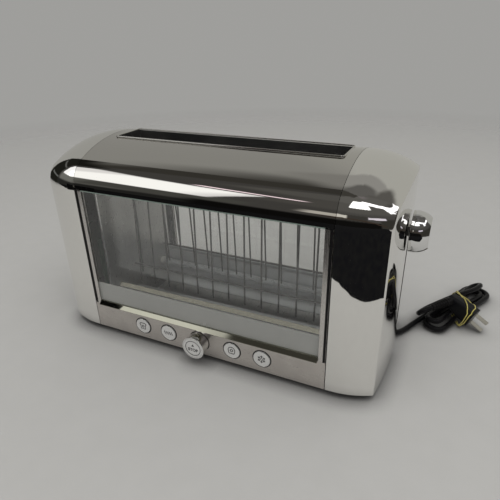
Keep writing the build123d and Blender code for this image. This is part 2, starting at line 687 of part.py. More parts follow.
def make_control_module():
    """Housing that guides the buttons and the board behind it."""
    reach = BUTTON_X[-1] + 1.5 * BUTTON_R
    with BuildPart() as control_housing:
        top = PANEL_TOP - 2 * SHEET
        block((-reach, reach), (-HOUSING_Y, HOUSING_THICK - HOUSING_Y), (BASE_TOP, top))
        for x in (*BUTTON_X, 0):
            rod(facing(HOUSING_THICK - HOUSING_Y), (x, CONTROL_Z), STEM_R + RUNNING, HOUSING_THICK, Mode.SUBTRACT)
    write(control_housing, "control_housing")
    with BuildPart() as control_board:
        block((-reach, reach), (-BOARD_Y, BOARD_THICK - BOARD_Y), (BASE_TOP, PANEL_TOP - 3 * SHEET))
    write(control_board, "control_board")
    with BuildPart() as power_board:
        x = -END_PLATE_X - 3 * SLIDER_HALF - BOARD_THICK * 6
        block((x - BOARD_THICK, x), (-5 * SLIDER_HALF, 5 * SLIDER_HALF), (BASE_TOP, BASE_TOP + 11 * SLIDER_HALF))
    write(power_board, "power_board")
    with BuildPart() as power_relay:
        low = BASE_TOP + 6 * SLIDER_HALF
        block((x, x + RELAY_DEPTH), (-4 * SLIDER_HALF, -2 * SLIDER_HALF), (low, low + RELAY_HEIGHT))
    write(power_relay, "power_relay")
    with BuildPart() as terminal_block:
        y = TRIM_DEPTH + FOOT_R - FOOT_Y
        start = ROD_X - SLIDER_HALF
        block((start, start + BLOCK_LENGTH), (y, y + BLOCK_WIDTH), (BASE_TOP, BASE_TOP + BLOCK_HEIGHT))
        for i in range(3):
            place = (start + BLOCK_LENGTH * (2 * i + 1) / 6, y + BLOCK_WIDTH / 2)
            rod(level(BASE_TOP + BLOCK_HEIGHT / 2), place, SCREW_R, BLOCK_HEIGHT / 2, Mode.SUBTRACT)
    write(terminal_block, "terminal_block")


def gland_plane(ahead):
    """Plane square to the cord gland, a distance along its axis."""
    turn = math.radians(GLAND_TURN)
    start = level(GLAND_Z).from_local_coords((GLAND_X, GLAND_Y, 0))
    mouth = Plane(start, x_dir=(0, 0, 1), z_dir=(math.cos(turn), math.sin(turn), 0))
    return mouth.offset(ahead)


def make_base():
    """Moulded base pan with the cord recess, its feet and its screws."""
    inset = COVER_WALL + FIT
    wall = BRACKET_SHEET
    height = RECESS_TOP + wall
    with BuildPart() as recess:
        y = (RECESS_LOW_Y - wall, RECESS_HIGH_Y + wall)
        block((RECESS_X - wall, HALF_LENGTH), y, (BASE_FOOT, height))
        extrude(footprint(0, inset), amount=TOP, mode=Mode.INTERSECT)
    with BuildPart() as tab:
        with BuildSketch(gland_plane(-wall)):
            with Locations((RECESS_TOP / 2 - GLAND_Z / 2, 0)):
                Rectangle(RECESS_TOP - GLAND_R, 4 * GLAND_R)
            Circle(GLAND_NECK_R, mode=Mode.SUBTRACT)
        extrude(amount=wall)
        block((0, HALF_LENGTH), (-HALF_DEPTH, RECESS_LOW_Y - wall), (0, TOP), Mode.SUBTRACT)
    with BuildPart() as base_pan:
        extrude(footprint(BASE_FOOT, inset), amount=BASE_THICK)
        extrude(footprint(BASE_TOP, inset), amount=RIM_HEIGHT)
        extrude(footprint(BASE_TOP, inset + RIM_THICK), amount=RIM_HEIGHT, mode=Mode.SUBTRACT)
        for y in ((-HALF_DEPTH, TRIM_DEPTH - HALF_DEPTH), (HALF_DEPTH - TRIM_DEPTH, HALF_DEPTH)):
            block((-HALF_SEAM, HALF_SEAM), y, (BASE_TOP, height), Mode.SUBTRACT)
        add(recess.part)
        block((RECESS_X, HALF_LENGTH), (RECESS_LOW_Y, RECESS_HIGH_Y), (0, RECESS_TOP), Mode.SUBTRACT)
        add(tab.part)
        with BuildSketch(level(BASE_FOOT)):
            with Locations(BASE_SCREWS):
                Circle(SCREW_R + RUNNING)
        extrude(amount=BASE_THICK, mode=Mode.SUBTRACT)
    write(base_pan, "base_pan")
    with BuildPart() as base_screws:
        with BuildSketch(level(BASE_FOOT - 2 * SHEET)):
            with Locations(BASE_SCREWS):
                Circle(2 * SCREW_R)
                RegularPolygon(SCREW_R, 4, mode=Mode.SUBTRACT)
        extrude(amount=SHEET)
        with BuildSketch(level(BASE_FOOT - SHEET)):
            with Locations(BASE_SCREWS):
                Circle(2 * SCREW_R)
        extrude(amount=SHEET)
        with BuildSketch(level(BASE_FOOT)):
            with Locations(BASE_SCREWS):
                Circle(SCREW_R)
        extrude(amount=BASE_THICK + 2 * SHEET)
    write(base_screws, "base_screws")


def make_feet():
    """Four rubber feet under the base pan."""
    with BuildPart() as feet:
        with BuildSketch(level(0)):
            with GridLocations(2 * FOOT_X, 2 * FOOT_Y, 2, 2):
                Circle(FOOT_R)
        extrude(amount=BASE_FOOT, taper=-3)
        chamfer(feet.faces().group_by(Axis.Z)[0].edges(), SHEET / 2)
    write(feet, "feet")


def make_tray():
    """Sheet crumb tray that draws out at the back, and its grip."""
    low = BASE_TOP + FIT
    front_y = HALF_DEPTH - SHEET
    y = (-TRAY_FRONT_Y, front_y)
    with BuildPart() as crumb_tray:
        block((-TRAY_HALF, TRAY_HALF), y, (low, low + TRAY_HEIGHT))
        inside = (-TRAY_HALF + TRAY_SHEET, TRAY_HALF - TRAY_SHEET)
        hollow = (y[0] + TRAY_SHEET, y[1] - TRAY_SHEET)
        block(inside, hollow, (low + TRAY_SHEET, low + TRAY_HEIGHT), Mode.SUBTRACT)
    write(crumb_tray, "crumb_tray")
    with BuildPart() as tray_front:
        block((-TRAY_HALF, TRAY_HALF), (front_y, HALF_DEPTH), (low, low + TRAY_HEIGHT))
        with BuildSketch(facing(HALF_DEPTH)):
            with Locations((0, low + TRAY_HEIGHT)):
                SlotOverall(40, TRAY_HEIGHT)
        extrude(amount=SHEET, mode=Mode.SUBTRACT)
    write(tray_front, "tray_front")


def unit(v):
    """The same direction with length one."""
    return v * (1 / v.length)


def hank_stations():
    """Places and directions that the wound cord passes, in the hank's own plane."""
    along = Vector(1, 0, 0)
    back = Vector(-1, 0, 0)
    low = HANK_LOW
    mid = low + HANK_STEP
    near = HANK_NEAR
    far = HANK_FAR
    w = [HANK_OUTER - HANK_PITCH * i for i in range(4)]
    draw = HANK_WAIST
    rise = Vector(-near - far, 0, HANK_STEP)
    last = Vector(-near - far, 23, -7.2)
    relief = unit(Vector(*RELIEF_END) - Vector(*RELIEF_START))
    tip = Vector(*RELIEF_START) - relief * 2 * CORD_R
    return [
        (Vector(-near - 2 * CORD_R, w[0], low), along),
        (Vector(-near, w[0], low), along),
        (Vector(0, w[0] - draw, low), along),
        (Vector(far, w[0], low), along),
        (Vector(far, -w[1], low), back),
        (Vector(0, -w[1] + draw, low), back),
        (Vector(-near, -w[1], low), back),
        (Vector(-near, w[2], low), along),
        (Vector(0, w[2] - draw, low), along),
        (Vector(far, w[2], low), along),
        (Vector(far, -w[3], low), back),
        (Vector(0, -w[3] + draw, (low + mid) / 2), unit(rise)),
        (Vector(-near, -w[3], mid), back),
        (Vector(-near, w[2], mid), along),
        (Vector(0, w[2] - draw, mid), along),
        (Vector(far, w[2], mid), along),
        (Vector(far, -3, mid + 7.4), back),
        (Vector(0, 8.5, mid + 6.9), unit(last)),
        (Vector(-near, 20, mid + 0.2), back),
        (tip, relief),
        (Vector(*RELIEF_START), relief),
    ]


def biarc(start, start_way, end, end_way):
    """Two tangent arcs between two stations, as edges, with their least radius."""
    gap = end - start
    both = start_way + end_way
    a = both.dot(both) - 4
    b = -2 * gap.dot(both)
    c = gap.dot(gap)
    if (gap - start_way * gap.length).length < 1e-6:
        return [Edge.make_line(start, end)], math.inf
    reach = (-b - math.sqrt(b * b - 4 * a * c)) / (2 * a) if abs(a) > 1e-9 else -c / b
    corner = start + start_way * reach
    far = end - end_way * reach
    joint = (corner + far) * 0.5
    middle = unit(far - corner)
    arcs = [Edge.make_tangent_arc(start, start_way, joint), Edge.make_tangent_arc(joint, middle, end)]
    turns = [math.radians(start_way.get_angle(middle)), math.radians(middle.get_angle(end_way))]
    return arcs, min(reach / math.tan(turn / 2) for turn in turns if turn > 1e-6)


def rounded_route(points):
    """Straight runs joined by tangent arcs, as edges, with each arc's radius."""
    edges = []
    radii = []
    at = points[0]
    for before, corner, after in zip(points, points[1:], points[2:]):
        arriving = unit(corner - before)
        leaving = unit(after - corner)
        reach = 0.45 * min((corner - before).length, (after - corner).length)
        start = corner - arriving * reach
        edges.append(Edge.make_line(at, start))
        edges.append(Edge.make_tangent_arc(start, arriving, corner + leaving * reach))
        turn = math.radians(arriving.get_angle(leaving))
        radii.append(reach / math.tan(turn / 2))
        at = corner + leaving * reach
    edges.append(Edge.make_line(at, points[-1]))
    return edges, radii


def tube(edges, name):
    """Round cord along a path, written out with its length and volume checked."""
    path = Wire(edges)
    with BuildPart() as cord:
        with BuildSketch(Plane(path.position_at(0), z_dir=path.tangent_at(0))) as ring:
            Circle(CORD_R)
        sweep(ring.sketch, path=path)
    expected = path.length * math.pi * CORD_R**2
    print(f"{name}: length {path.length:.1f} mm, volume over section times length {cord.part.volume / expected:.4f}")
    write(cord, name)
    return path


def least_gap(path):
    """Least gap between windings that lie at least four diameters apart along the cord."""
    count = int(path.length)
    points = [path.position_at(i / count) for i in range(count + 1)]
    skip = int(8 * CORD_R)
    pairs = ((points[i], points[k]) for i in range(count) for k in range(i + skip, count + 1))
    return min((p - q).length for p, q in pairs) - 2 * CORD_R


def make_cord():
    """Free stretch from the gland to the hank, then the wound hank as one tube."""
    turn = math.radians(HANK_TURN)
    centre = level(0).from_local_coords((HANK_X, HANK_Y, 0))
    hank = Plane(centre, x_dir=(math.cos(turn), math.sin(turn), 0), z_dir=(0, 0, 1))
    wound = hank_stations()
    entry = hank.from_local_coords(wound[0][0])
    first = gland_plane(GLAND_LENGTH).origin
    free = [first, first + gland_plane(0).z_dir * CORD_START]
    free += [level(0).from_local_coords((HALF_LENGTH + x, y, z)) for x, y, z in FREE_CORD]
    free += [entry - hank.x_dir * CORD_END, entry]
    edges, radii = rounded_route(free)
    print("cord radii", [round(r, 1) for r in radii])
    tube(edges, "cord")
    edges = []
    radii = []
    for (start, way), (end, end_way) in zip(wound, wound[1:]):
        arcs, radius = biarc(start, way, end, end_way)
        edges += arcs
        radii.append(radius)
    print("hank radii", [round(r, 1) for r in radii])
    path = Wire(edges)
    print(f"least gap of the hank to itself {least_gap(path):.2f} mm")
    tube([hank.from_local_coords(edge) for edge in edges], "cord_hank")
    return hank


def make_band(hank):
    """Two thin strands tied round the drawn-in waist of the hank."""
    waist = HANK_OUTER - HANK_WAIST + SLACK
    high = HANK_LOW + 2 * HANK_STEP + 2 * SLACK
    corners = [(waist, HANK_LOW), (HANK_PITCH - waist, HANK_LOW), (6.4, high), (5.3, high)]
    inside = CORD_R + STRAND_CLEAR
    with BuildPart() as hank_band:
        for place in STRANDS:
            start = hank.from_local_coords((place, 0, 0))
            for radius, mode in ((inside + STRAND_THICK, Mode.ADD), (inside, Mode.SUBTRACT)):
                with BuildSketch(Plane(start, x_dir=hank.y_dir, z_dir=hank.x_dir)) as loop:
                    with Locations(corners):
                        Circle(radius)
                    make_hull()
                extrude(loop.sketch, amount=STRAND_WIDTH, mode=mode)
    write(hank_band, "hank_band")


def make_gland():
    """Moulded gland that holds the cord in the recess, with a tapered boot."""
    with BuildPart() as cord_gland:
        rod(gland_plane(-BRACKET_SHEET), (0, 0), GLAND_FLANGE_R, -2 * SHEET)
        rod(gland_plane(-BRACKET_SHEET), (0, 0), GLAND_NECK_R - RUNNING, BRACKET_SHEET)
        with BuildSketch(gland_plane(0)) as root:
            Circle(GLAND_R)
        with BuildSketch(gland_plane(GLAND_LENGTH)) as tip:
            Circle(CORD_TIP_R)
        loft([root.sketch, tip.sketch])
    write(cord_gland, "cord_gland")


def make_plug(hank):
    """Flat moulded plug with its tapered relief and two blades."""
    start = hank.from_local_coords(Vector(*RELIEF_START))
    end = hank.from_local_coords(Vector(*RELIEF_END))
    axis = unit(end - start)
    with BuildPart() as plug_relief:
        with BuildSketch(Plane(start, z_dir=axis)) as thin:
            Circle(CORD_TIP_R)
        with BuildSketch(Plane(end, z_dir=axis)) as thick:
            Circle(RELIEF_R)
        loft([thin.sketch, thick.sketch])
    write(plug_relief, "plug_relief")
    dip = math.radians(PLUG_DIP)
    centre = hank.from_local_coords(Vector(*PLUG_FACE))
    ahead = hank.y_dir * -math.cos(dip) + Vector(0, 0, -math.sin(dip))
    face = Plane(centre, x_dir=hank.x_dir, z_dir=ahead)
    with BuildPart() as plug_body:
        with BuildSketch(face) as front:
            RectangleRounded(PLUG_THICK, PLUG_WIDTH, PLUG_THICK / 4)
        with BuildSketch(face.offset(-PLUG_LENGTH / 2)) as middle:
            RectangleRounded(PLUG_THICK - 1, PLUG_WIDTH - 2, PLUG_THICK / 4)
        with BuildSketch(face.offset(-PLUG_LENGTH)) as rear:
            RectangleRounded(PLUG_THICK - 4, PLUG_WIDTH - 9, PLUG_THICK / 4)
        loft([front.sketch, middle.sketch, rear.sketch])
    write(plug_body, "plug_body")
    with BuildPart() as plug_blades:
        with BuildSketch(face):
            with Locations((0, -BLADE_HALF_PITCH), (0, BLADE_HALF_PITCH)):
                Rectangle(BLADE_WIDTH, BLADE_THICK)
        extrude(amount=BLADE_LENGTH)
        tips = plug_blades.faces().filter_by(lambda f: f.normal_at().dot(ahead) > 0.9)
        chamfer(tips.edges(), SHEET / 2)
    write(plug_blades, "plug_blades")


make_end_covers()
make_top_shell()
make_slot_liner()
make_panels()
make_windows()
make_reflectors()
make_heaters()
make_chamber()
make_carriage()
make_sliders()
make_lever()
make_guides()
make_buttons()
make_dial()
make_control_module()
make_base()
make_feet()
make_tray()
make_gland()
hank_plane = make_cord()
make_band(hank_plane)
make_plug(hank_plane)
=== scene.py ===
import math

import bpy
from mathutils import Matrix, Vector
from mathutils.bvhtree import BVHTree


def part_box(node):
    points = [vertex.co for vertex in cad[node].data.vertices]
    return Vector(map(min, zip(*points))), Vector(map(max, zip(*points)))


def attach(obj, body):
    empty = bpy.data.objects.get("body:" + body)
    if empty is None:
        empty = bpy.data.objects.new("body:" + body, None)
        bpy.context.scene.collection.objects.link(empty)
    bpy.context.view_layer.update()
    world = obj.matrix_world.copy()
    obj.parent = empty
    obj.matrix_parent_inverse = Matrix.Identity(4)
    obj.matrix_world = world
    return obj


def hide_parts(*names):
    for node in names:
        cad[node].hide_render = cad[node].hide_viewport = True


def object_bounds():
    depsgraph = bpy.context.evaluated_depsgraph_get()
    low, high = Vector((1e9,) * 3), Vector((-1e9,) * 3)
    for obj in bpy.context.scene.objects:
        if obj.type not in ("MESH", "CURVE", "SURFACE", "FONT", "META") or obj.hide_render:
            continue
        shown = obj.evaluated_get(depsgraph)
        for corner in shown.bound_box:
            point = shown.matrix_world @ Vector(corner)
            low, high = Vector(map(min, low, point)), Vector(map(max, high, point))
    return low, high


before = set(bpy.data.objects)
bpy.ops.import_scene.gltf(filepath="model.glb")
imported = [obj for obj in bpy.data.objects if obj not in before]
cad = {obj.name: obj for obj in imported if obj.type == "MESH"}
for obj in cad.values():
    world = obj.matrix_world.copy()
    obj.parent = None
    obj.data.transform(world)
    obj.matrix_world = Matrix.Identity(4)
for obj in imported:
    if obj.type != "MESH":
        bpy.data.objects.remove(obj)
packed_low, packed_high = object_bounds()


# Camera, where the photograph was taken from: in front, to the right of the toaster's middle and
# looking down on it. The picture is square, and the numbers come from eleven corners of the body.
def put_in_scene(name, data):
    """Adds an object made from this data."""
    piece = bpy.data.objects.new(name, data)
    bpy.context.scene.collection.objects.link(piece)
    return piece


turn, rise, roll = (math.radians(a) for a in (25.50, 25.946, -1.356))
back = Vector((math.sin(turn) * math.cos(rise), -math.cos(turn) * math.cos(rise), math.sin(rise)))
level_right = (-back).cross(Vector((0, 0, 1))).normalized()
level_up = level_right.cross(-back)
picture_right = math.cos(roll) * level_right + math.sin(roll) * level_up
picture_up = math.cos(roll) * level_up - math.sin(roll) * level_right
sensor_width = 36
focal_length, picture_width = 457.86, 500  # both in the picture's own pixels
lens = bpy.data.cameras.new("photo_camera")
lens.sensor_width = sensor_width
lens.lens = sensor_width * focal_length / picture_width
lens.clip_start = 0.01
camera = put_in_scene("photo_camera", lens)
camera.matrix_world = (
    Matrix.Translation((0.2241, -0.4333, 0.3404))
    @ Matrix((picture_right, picture_up, back)).transposed().to_4x4()
)
bpy.context.scene.camera = camera


# Mains cord. Black flexible sheath with a soft gloss, out of the right-hand end at the back and
# straight into a hank of four runs each way, which two rubber bands hold together.
def feed(node, inputs):
    """Sets a shader node's inputs, each to a value or to the output of another node."""
    for key, value in inputs.items():
        if isinstance(value, bpy.types.NodeSocket):
            node.id_data.links.new(value, node.inputs[key])
        else:
            node.inputs[key].default_value = value


def add_node(tree, kind, inputs, **settings):
    """Adds a shader node: its settings first, since they can change which inputs it has."""
    node = tree.nodes.new(kind)
    for setting, value in settings.items():
        setattr(node, setting, value)
    feed(node, inputs)
    return node


def calculated(tree, operation, *values):
    """The result of an operation on values or on the outputs of other nodes."""
    inputs = dict(enumerate(values))
    return add_node(tree, "ShaderNodeMath", inputs, operation=operation).outputs[0]


def new_effect(name, inputs, outputs):
    """An empty node group whose inputs are named with their kinds; its outputs are numbers."""
    group = bpy.data.node_groups.new(name, "ShaderNodeTree")
    for socket, kind in inputs:
        group.interface.new_socket(socket, in_out="INPUT", socket_type=kind)
    for socket in outputs:
        group.interface.new_socket(socket, in_out="OUTPUT", socket_type="NodeSocketFloat")
    return group


def grain_effect():
    """Fine grain and broad patches, laid over a piece in its own space."""
    group = new_effect(
        "surface_grain",
        (
            ("Place", "NodeSocketVector"), ("Stretch", "NodeSocketVector"),
            ("Fineness", "NodeSocketFloat"),
        ),
        ("Grain", "Patches"),
    )
    given = add_node(group, "NodeGroupInput", {}).outputs
    drawn = add_node(
        group, "ShaderNodeVectorMath", {0: given["Place"], 1: given["Stretch"]},
        operation="MULTIPLY",
    )
    fine = add_node(
        group, "ShaderNodeTexNoise",
        {"Vector": drawn.outputs[0], "Scale": given["Fineness"], "Detail": 5, "Roughness": 0.62},
    )
    broad_scale = calculated(group, "MULTIPLY", given["Fineness"], 0.035)
    broad = add_node(
        group, "ShaderNodeTexNoise", {"Vector": given["Place"], "Scale": broad_scale, "Detail": 3}
    )
    spread = add_node(
        group, "ShaderNodeMapRange",
        {"Value": broad.outputs["Fac"], "From Min": 0.35, "From Max": 0.65},
    )
    add_node(
        group, "NodeGroupOutput", {"Grain": fine.outputs["Fac"], "Patches": spread.outputs[0]}
    )
    return group


surface_grain = grain_effect()


def new_material(name):
    """A material with its node tree and its shader."""
    material = bpy.data.materials.new(name)
    material.use_nodes = True
    return material, material.node_tree, material.node_tree.nodes["Principled BSDF"]


def finish(name, colours, roughness, metallic=0.0, stretch=(1, 1, 1), fineness=900, relief=0.00003):
    """A finish whose colour drifts between two tones and whose grain shows in gloss and relief."""
    material, tree, shader = new_material(name)
    space = add_node(tree, "ShaderNodeTexCoord", {})
    marks = add_node(
        tree, "ShaderNodeGroup",
        {"Place": space.outputs["Object"], "Stretch": stretch, "Fineness": fineness},
        node_tree=surface_grain,
    )
    tones = add_node(
        tree, "ShaderNodeMix",
        {0: marks.outputs["Patches"], 6: (*colours[0], 1), 7: (*colours[1], 1)},
        name="tones", data_type="RGBA",
    )
    gloss = add_node(
        tree, "ShaderNodeMapRange",
        {
            "Value": marks.outputs["Grain"], "From Min": 0.3, "From Max": 0.7,
            "To Min": roughness[0], "To Max": roughness[1],
        },
    )
    height = add_node(
        tree, "ShaderNodeBump", {"Height": marks.outputs["Grain"], "Distance": relief}
    )
    feed(
        shader,
        {
            "Base Color": tones.outputs[2], "Metallic": metallic, "Roughness": gloss.outputs[0],
            "Normal": height.outputs[0],
        },
    )
    return material


def shader_of(material):
    """The shader of a finish, for what only this one needs."""
    return material.node_tree.nodes["Principled BSDF"]


def dress(material, *names):
    """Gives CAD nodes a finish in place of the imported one."""
    for name in names:
        if not cad[name].material_slots:
            cad[name].data.materials.append(material)
        for filled in cad[name].material_slots:
            filled.material = material


def round_line(name, radius, material, roundness=2, capped=False):
    """A line with a round section, in metres, which has no runs yet."""
    line = bpy.data.curves.new(name, "CURVE")
    line.dimensions = "3D"
    line.bevel_depth = radius
    line.bevel_resolution = roundness
    line.use_fill_caps = capped
    line.materials.append(material)
    return line


def lay_run(line, spots, closed=False, kind="POLY"):
    """Lays one run of a round line through some spots."""
    run = line.splines.new(kind)
    run.points.add(len(spots) - 1)
    for point, spot in zip(run.points, spots):
        point.co = (*spot, 1)
    run.use_cyclic_u = closed
    return run


hank_middle = Vector((246.3, 127.3, 0))
hank_along = Vector((0.4368, 0.8996, 0))
hank_across = Vector((-0.8996, 0.4368, 0))


def in_hank(u, w, z):
    """A point given along, across and above the hank, in millimetres."""
    return (hank_middle + hank_along * u + hank_across * w + Vector((0, 0, z))) / 1000


cord_free = [
    (159.1, 33.8, 11.0), (170.2, 37.9, 11.0), (180.5, 43.2, 7.8), (188.5, 51.0, 4.8),
    (195.3, 62.5, 3.6), (202.6, 75.8, 5.4),
]
cord_hank = [
    (-44, 16.8, 5.4), (-32.9, 16.8, 5.4), (-11.1, 13.8, 5.4), (14.5, 13.8, 5.4), (43.5, 16.8, 5.4),
    (73.0, 16.8, 5.4), (73.0, -13.1, 5.4), (43.5, -13.1, 5.4), (14.5, -10.1, 5.4),
    (-11.1, -10.1, 5.4), (-32.9, -13.1, 5.4), (-55.2, -13.1, 5.4), (-55.2, 9.4, 5.4),
    (-32.9, 9.4, 5.4), (-11.1, 6.4, 5.4), (14.5, 6.4, 5.4), (43.5, 9.4, 5.4), (65.5, 9.4, 5.4),
    (65.5, -5.7, 5.4), (43.4, -5.7, 5.4), (14.5, -2.7, 7.9), (-11.1, -2.7, 9.7),
    (-32.9, -5.7, 12.4), (-51.5, -5.7, 12.4), (-51.5, 9.4, 12.4), (-32.9, 9.4, 12.4),
    (-11.1, 6.4, 12.4), (14.5, 6.4, 12.4), (43.5, 9.4, 12.4), (65.2, 9.4, 12.4),
    (65.2, -3.0, 19.8), (43.1, -3.0, 19.8), (14.5, 5.2, 20.3), (-11.4, 11.1, 18.5),
    (-32.3, 20.0, 12.6), (-52.8, 20.0, 12.6), (-60.5, 10.3, 25.0), (-46.0, 6.0, 26.0),
]
cord_route = [Vector(p) / 1000 for p in cord_free] + [in_hank(*p) for p in cord_hank]
black_sheath = finish(
    "black_sheath", ((0.003, 0.003, 0.0034), (0.005, 0.0045, 0.005)), (0.22, 0.32), fineness=1400
)
cord_line = round_line("mains_cord", 0.0032, black_sheath, roundness=5, capped=True)
cord_run = lay_run(cord_line, cord_route, kind="NURBS")
cord_run.order_u = 3
cord_run.use_endpoint_u = True
cord_line.resolution_u = 10
mains_cord = put_in_scene("mains_cord", cord_line)
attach(mains_cord, "toaster")
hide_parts("cord", "cord_hank")


# Strain relief at the plug and at the toaster's end. Soft black rubber boots that taper along the
# cord, moulded with rings so that they bend; the rear one is held in the base by its flange.
def turned(name, start, end, profile, material):
    """A closed piece turned about a line; profile pairs millimetres along it with a radius."""
    way = (end - start).normalized()
    side = way.orthogonal().normalized()
    over = way.cross(side)
    around = 40
    points, faces = [], []
    for along, radius in profile:
        centre = start + way * along / 1000
        for i in range(around):
            a = 2 * math.pi * i / around
            points.append(centre + (side * math.cos(a) + over * math.sin(a)) * radius / 1000)
    for row in range(len(profile) - 1):
        near, far = row * around, (row + 1) * around
        for i in range(around):
            j = (i + 1) % around
            faces.append((near + i, near + j, far + j, far + i))
    last = (len(profile) - 1) * around
    faces += [tuple(reversed(range(around))), tuple(range(last, last + around))]
    mesh = bpy.data.meshes.new(name)
    mesh.from_pydata(points, [], faces)
    mesh.shade_smooth()
    mesh.set_sharp_from_angle(angle=math.radians(50))
    mesh.materials.append(material)
    return put_in_scene(name, mesh)


boot_ribs = 6
relief_start, relief_end = in_hank(-46.0, 6.0, 26.0), in_hank(-16.0, -3.0, 28.0)
relief_length = (relief_end - relief_start).length * 1000
relief_pitch = 3.3
relief_profile = [(0, 3.7), (0.3, 4.0), (2.6, 4.1)]
for rib in range(boot_ribs):
    foot = 2.8 + rib * relief_pitch
    groove = 3.5 + 0.13 * rib
    crest = 4.35 + 0.16 * rib
    relief_profile += [
        (foot + share * relief_pitch, radius)
        for share, radius in (
            (0, groove), (0.40, groove), (0.46, crest - 0.2), (0.52, crest), (0.92, crest),
            (0.97, crest - 0.2),
        )
    ]
relief_profile += [(23.0, 4.6), (24.5, 5.3), (relief_length - 0.6, 5.4), (relief_length, 5.2)]
black_rubber = finish(
    "black_rubber", ((0.003, 0.003, 0.0034), (0.0055, 0.005, 0.005)), (0.32, 0.45), fineness=1800
)
plug_boot = turned("plug_boot", relief_start, relief_end, relief_profile, black_rubber)
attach(plug_boot, "toaster")
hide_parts("plug_relief")
gland_start, gland_way = Vector((0.1403, 0.027, 0.011)), Vector((0.9397, 0.3420, 0))
gland_profile = [(0, 4.5), (3.6, 4.5), (3.6, 7.0), (5.4, 7.0), (5.6, 4.9)]
for rib in range(boot_ribs):
    foot, crest = 5.9 + 2.5 * rib, 5.5 - 0.2 * rib
    gland_profile += [
        (foot, crest - 0.8), (foot + 0.7, crest - 0.8), (foot + 0.9, crest), (foot + 2.0, crest),
    ]
gland_profile += [(21.0, 4.2), (21.3, 3.6)]
gland_boot = turned("gland_boot", gland_start, gland_start + gland_way, gland_profile, black_rubber)
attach(gland_boot, "toaster")
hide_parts("cord_gland")

# Two-pin plug in moulded black plastic with its nickel-plated blades, lying on the hank, and the
# pair of thin rubber bands that hold the cord's runs and the plug together, drawn tight over both.
black_moulding = finish(
    "black_moulding", ((0.006, 0.006, 0.007), (0.010, 0.010, 0.010)), (0.26, 0.36),
    fineness=2200, relief=0.00005,
)
dress(black_moulding, "plug_body")
for soft_black in (black_sheath, black_rubber, black_moulding):
    feed(shader_of(soft_black), {"Specular IOR Level": 0.18})
plated_blades = finish(
    "plated_blades", ((0.62, 0.60, 0.55), (0.56, 0.54, 0.49)), (0.16, 0.24), 1.0,
    stretch=(0.4, 1, 1), fineness=900, relief=0.000004,
)
dress(plated_blades, "plug_blades")
yellow_rubber = finish(
    "yellow_rubber", ((0.38, 0.33, 0.085), (0.46, 0.40, 0.13)), (0.45, 0.6), fineness=1500
)
plug_mesh, plug_place = cad["plug_body"].data, cad["plug_body"].matrix_world
plug_surface = BVHTree.FromPolygons(
    [plug_place @ vertex.co for vertex in plug_mesh.vertices],
    [tuple(face.vertices) for face in plug_mesh.polygons],
)
strand_radius = 0.0006
well_above, straight_down = 0.08, Vector((0, 0, -1))
plug_side = 22  # millimetres up; above it a strand lies on the plug where it crosses the plug
pieces_of_stretch = 5
band_line = round_line("band_strands", strand_radius, yellow_rubber)
for strand in (
    [
        (11, 15, 12.5), (10.5, 10.5, 19), (9, 8, 23.8), (6, 5, 27), (1, 0.5, 33.4), (-2, -4, 33.6),
        (-6.5, -12, 31.2), (-14.6, -20.6, 28.6), (-20, -25.0, 26.7), (-24.6, -28.0, 24.6),
        (-26.0, -27.5, 21), (-26.0, -25, 12), (-25.0, -21, 4), (-20, -17, 1.3), (3, 8, 1.3),
        (8, 16, 1.5), (10, 18.2, 4), (11.2, 18.2, 7),
    ],
    [
        (17, 15, 12.5), (16, 10.5, 19), (14, 7, 24), (10, 3, 25.4), (2, -10, 28.2),
        (-1.5, -16.5, 29.0), (-6.6, -27.0, 25.9), (-12, -31.0, 24.6), (-19, -31.4, 24.1),
        (-24.6, -31.0, 23.4), (-26.0, -30, 20), (-26.0, -27, 11), (-25.0, -22, 4),
        (-18, -17, 1.3), (9, 8, 1.3), (14, 16, 1.5), (16, 18.4, 4), (17, 18.4, 7),
    ],
):
    spots = []
    for near, far in zip(strand, strand[1:] + strand[:1]):
        for number in range(pieces_of_stretch):
            share = number / pieces_of_stretch
            along, across, up = (a + (b - a) * share for a, b in zip(near, far))
            x, y, z = in_hank(along, across, up)
            on_plug = plug_surface.ray_cast(Vector((x, y, well_above)), straight_down)[0]
            if on_plug and up > plug_side:
                z = max(z, on_plug.z + strand_radius)
            spots.append((x, y, z))
    lay_run(band_line, spots, closed=True)
band_strands = put_in_scene("band_strands", band_line)
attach(band_strands, "toaster")
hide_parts("hank_band")

# Base pan and feet. Pressed steel sheet with black enamel, on four rubber feet that stand on the
# table; the screws through the pan's ribs hold the end covers and panels.
black_enamel = finish(
    "black_enamel", ((0.012, 0.012, 0.012), (0.022, 0.021, 0.020)), (0.30, 0.42), fineness=500
)
dress(black_enamel, "base_pan")
foot_rubber = finish(
    "foot_rubber", ((0.016, 0.016, 0.016), (0.028, 0.027, 0.026)), (0.62, 0.8), fineness=1500
)
dress(foot_rubber, "feet")
zinc_plate = finish(
    "zinc_plate", ((0.56, 0.55, 0.52), (0.44, 0.43, 0.41)), (0.22, 0.38), 1.0, fineness=700
)
dress(
    zinc_plate, "base_screws", "lower_rod_brackets", "upper_rod_brackets", "keeper_plate",
    "lever_arm", "left_slider", "right_slider",
)

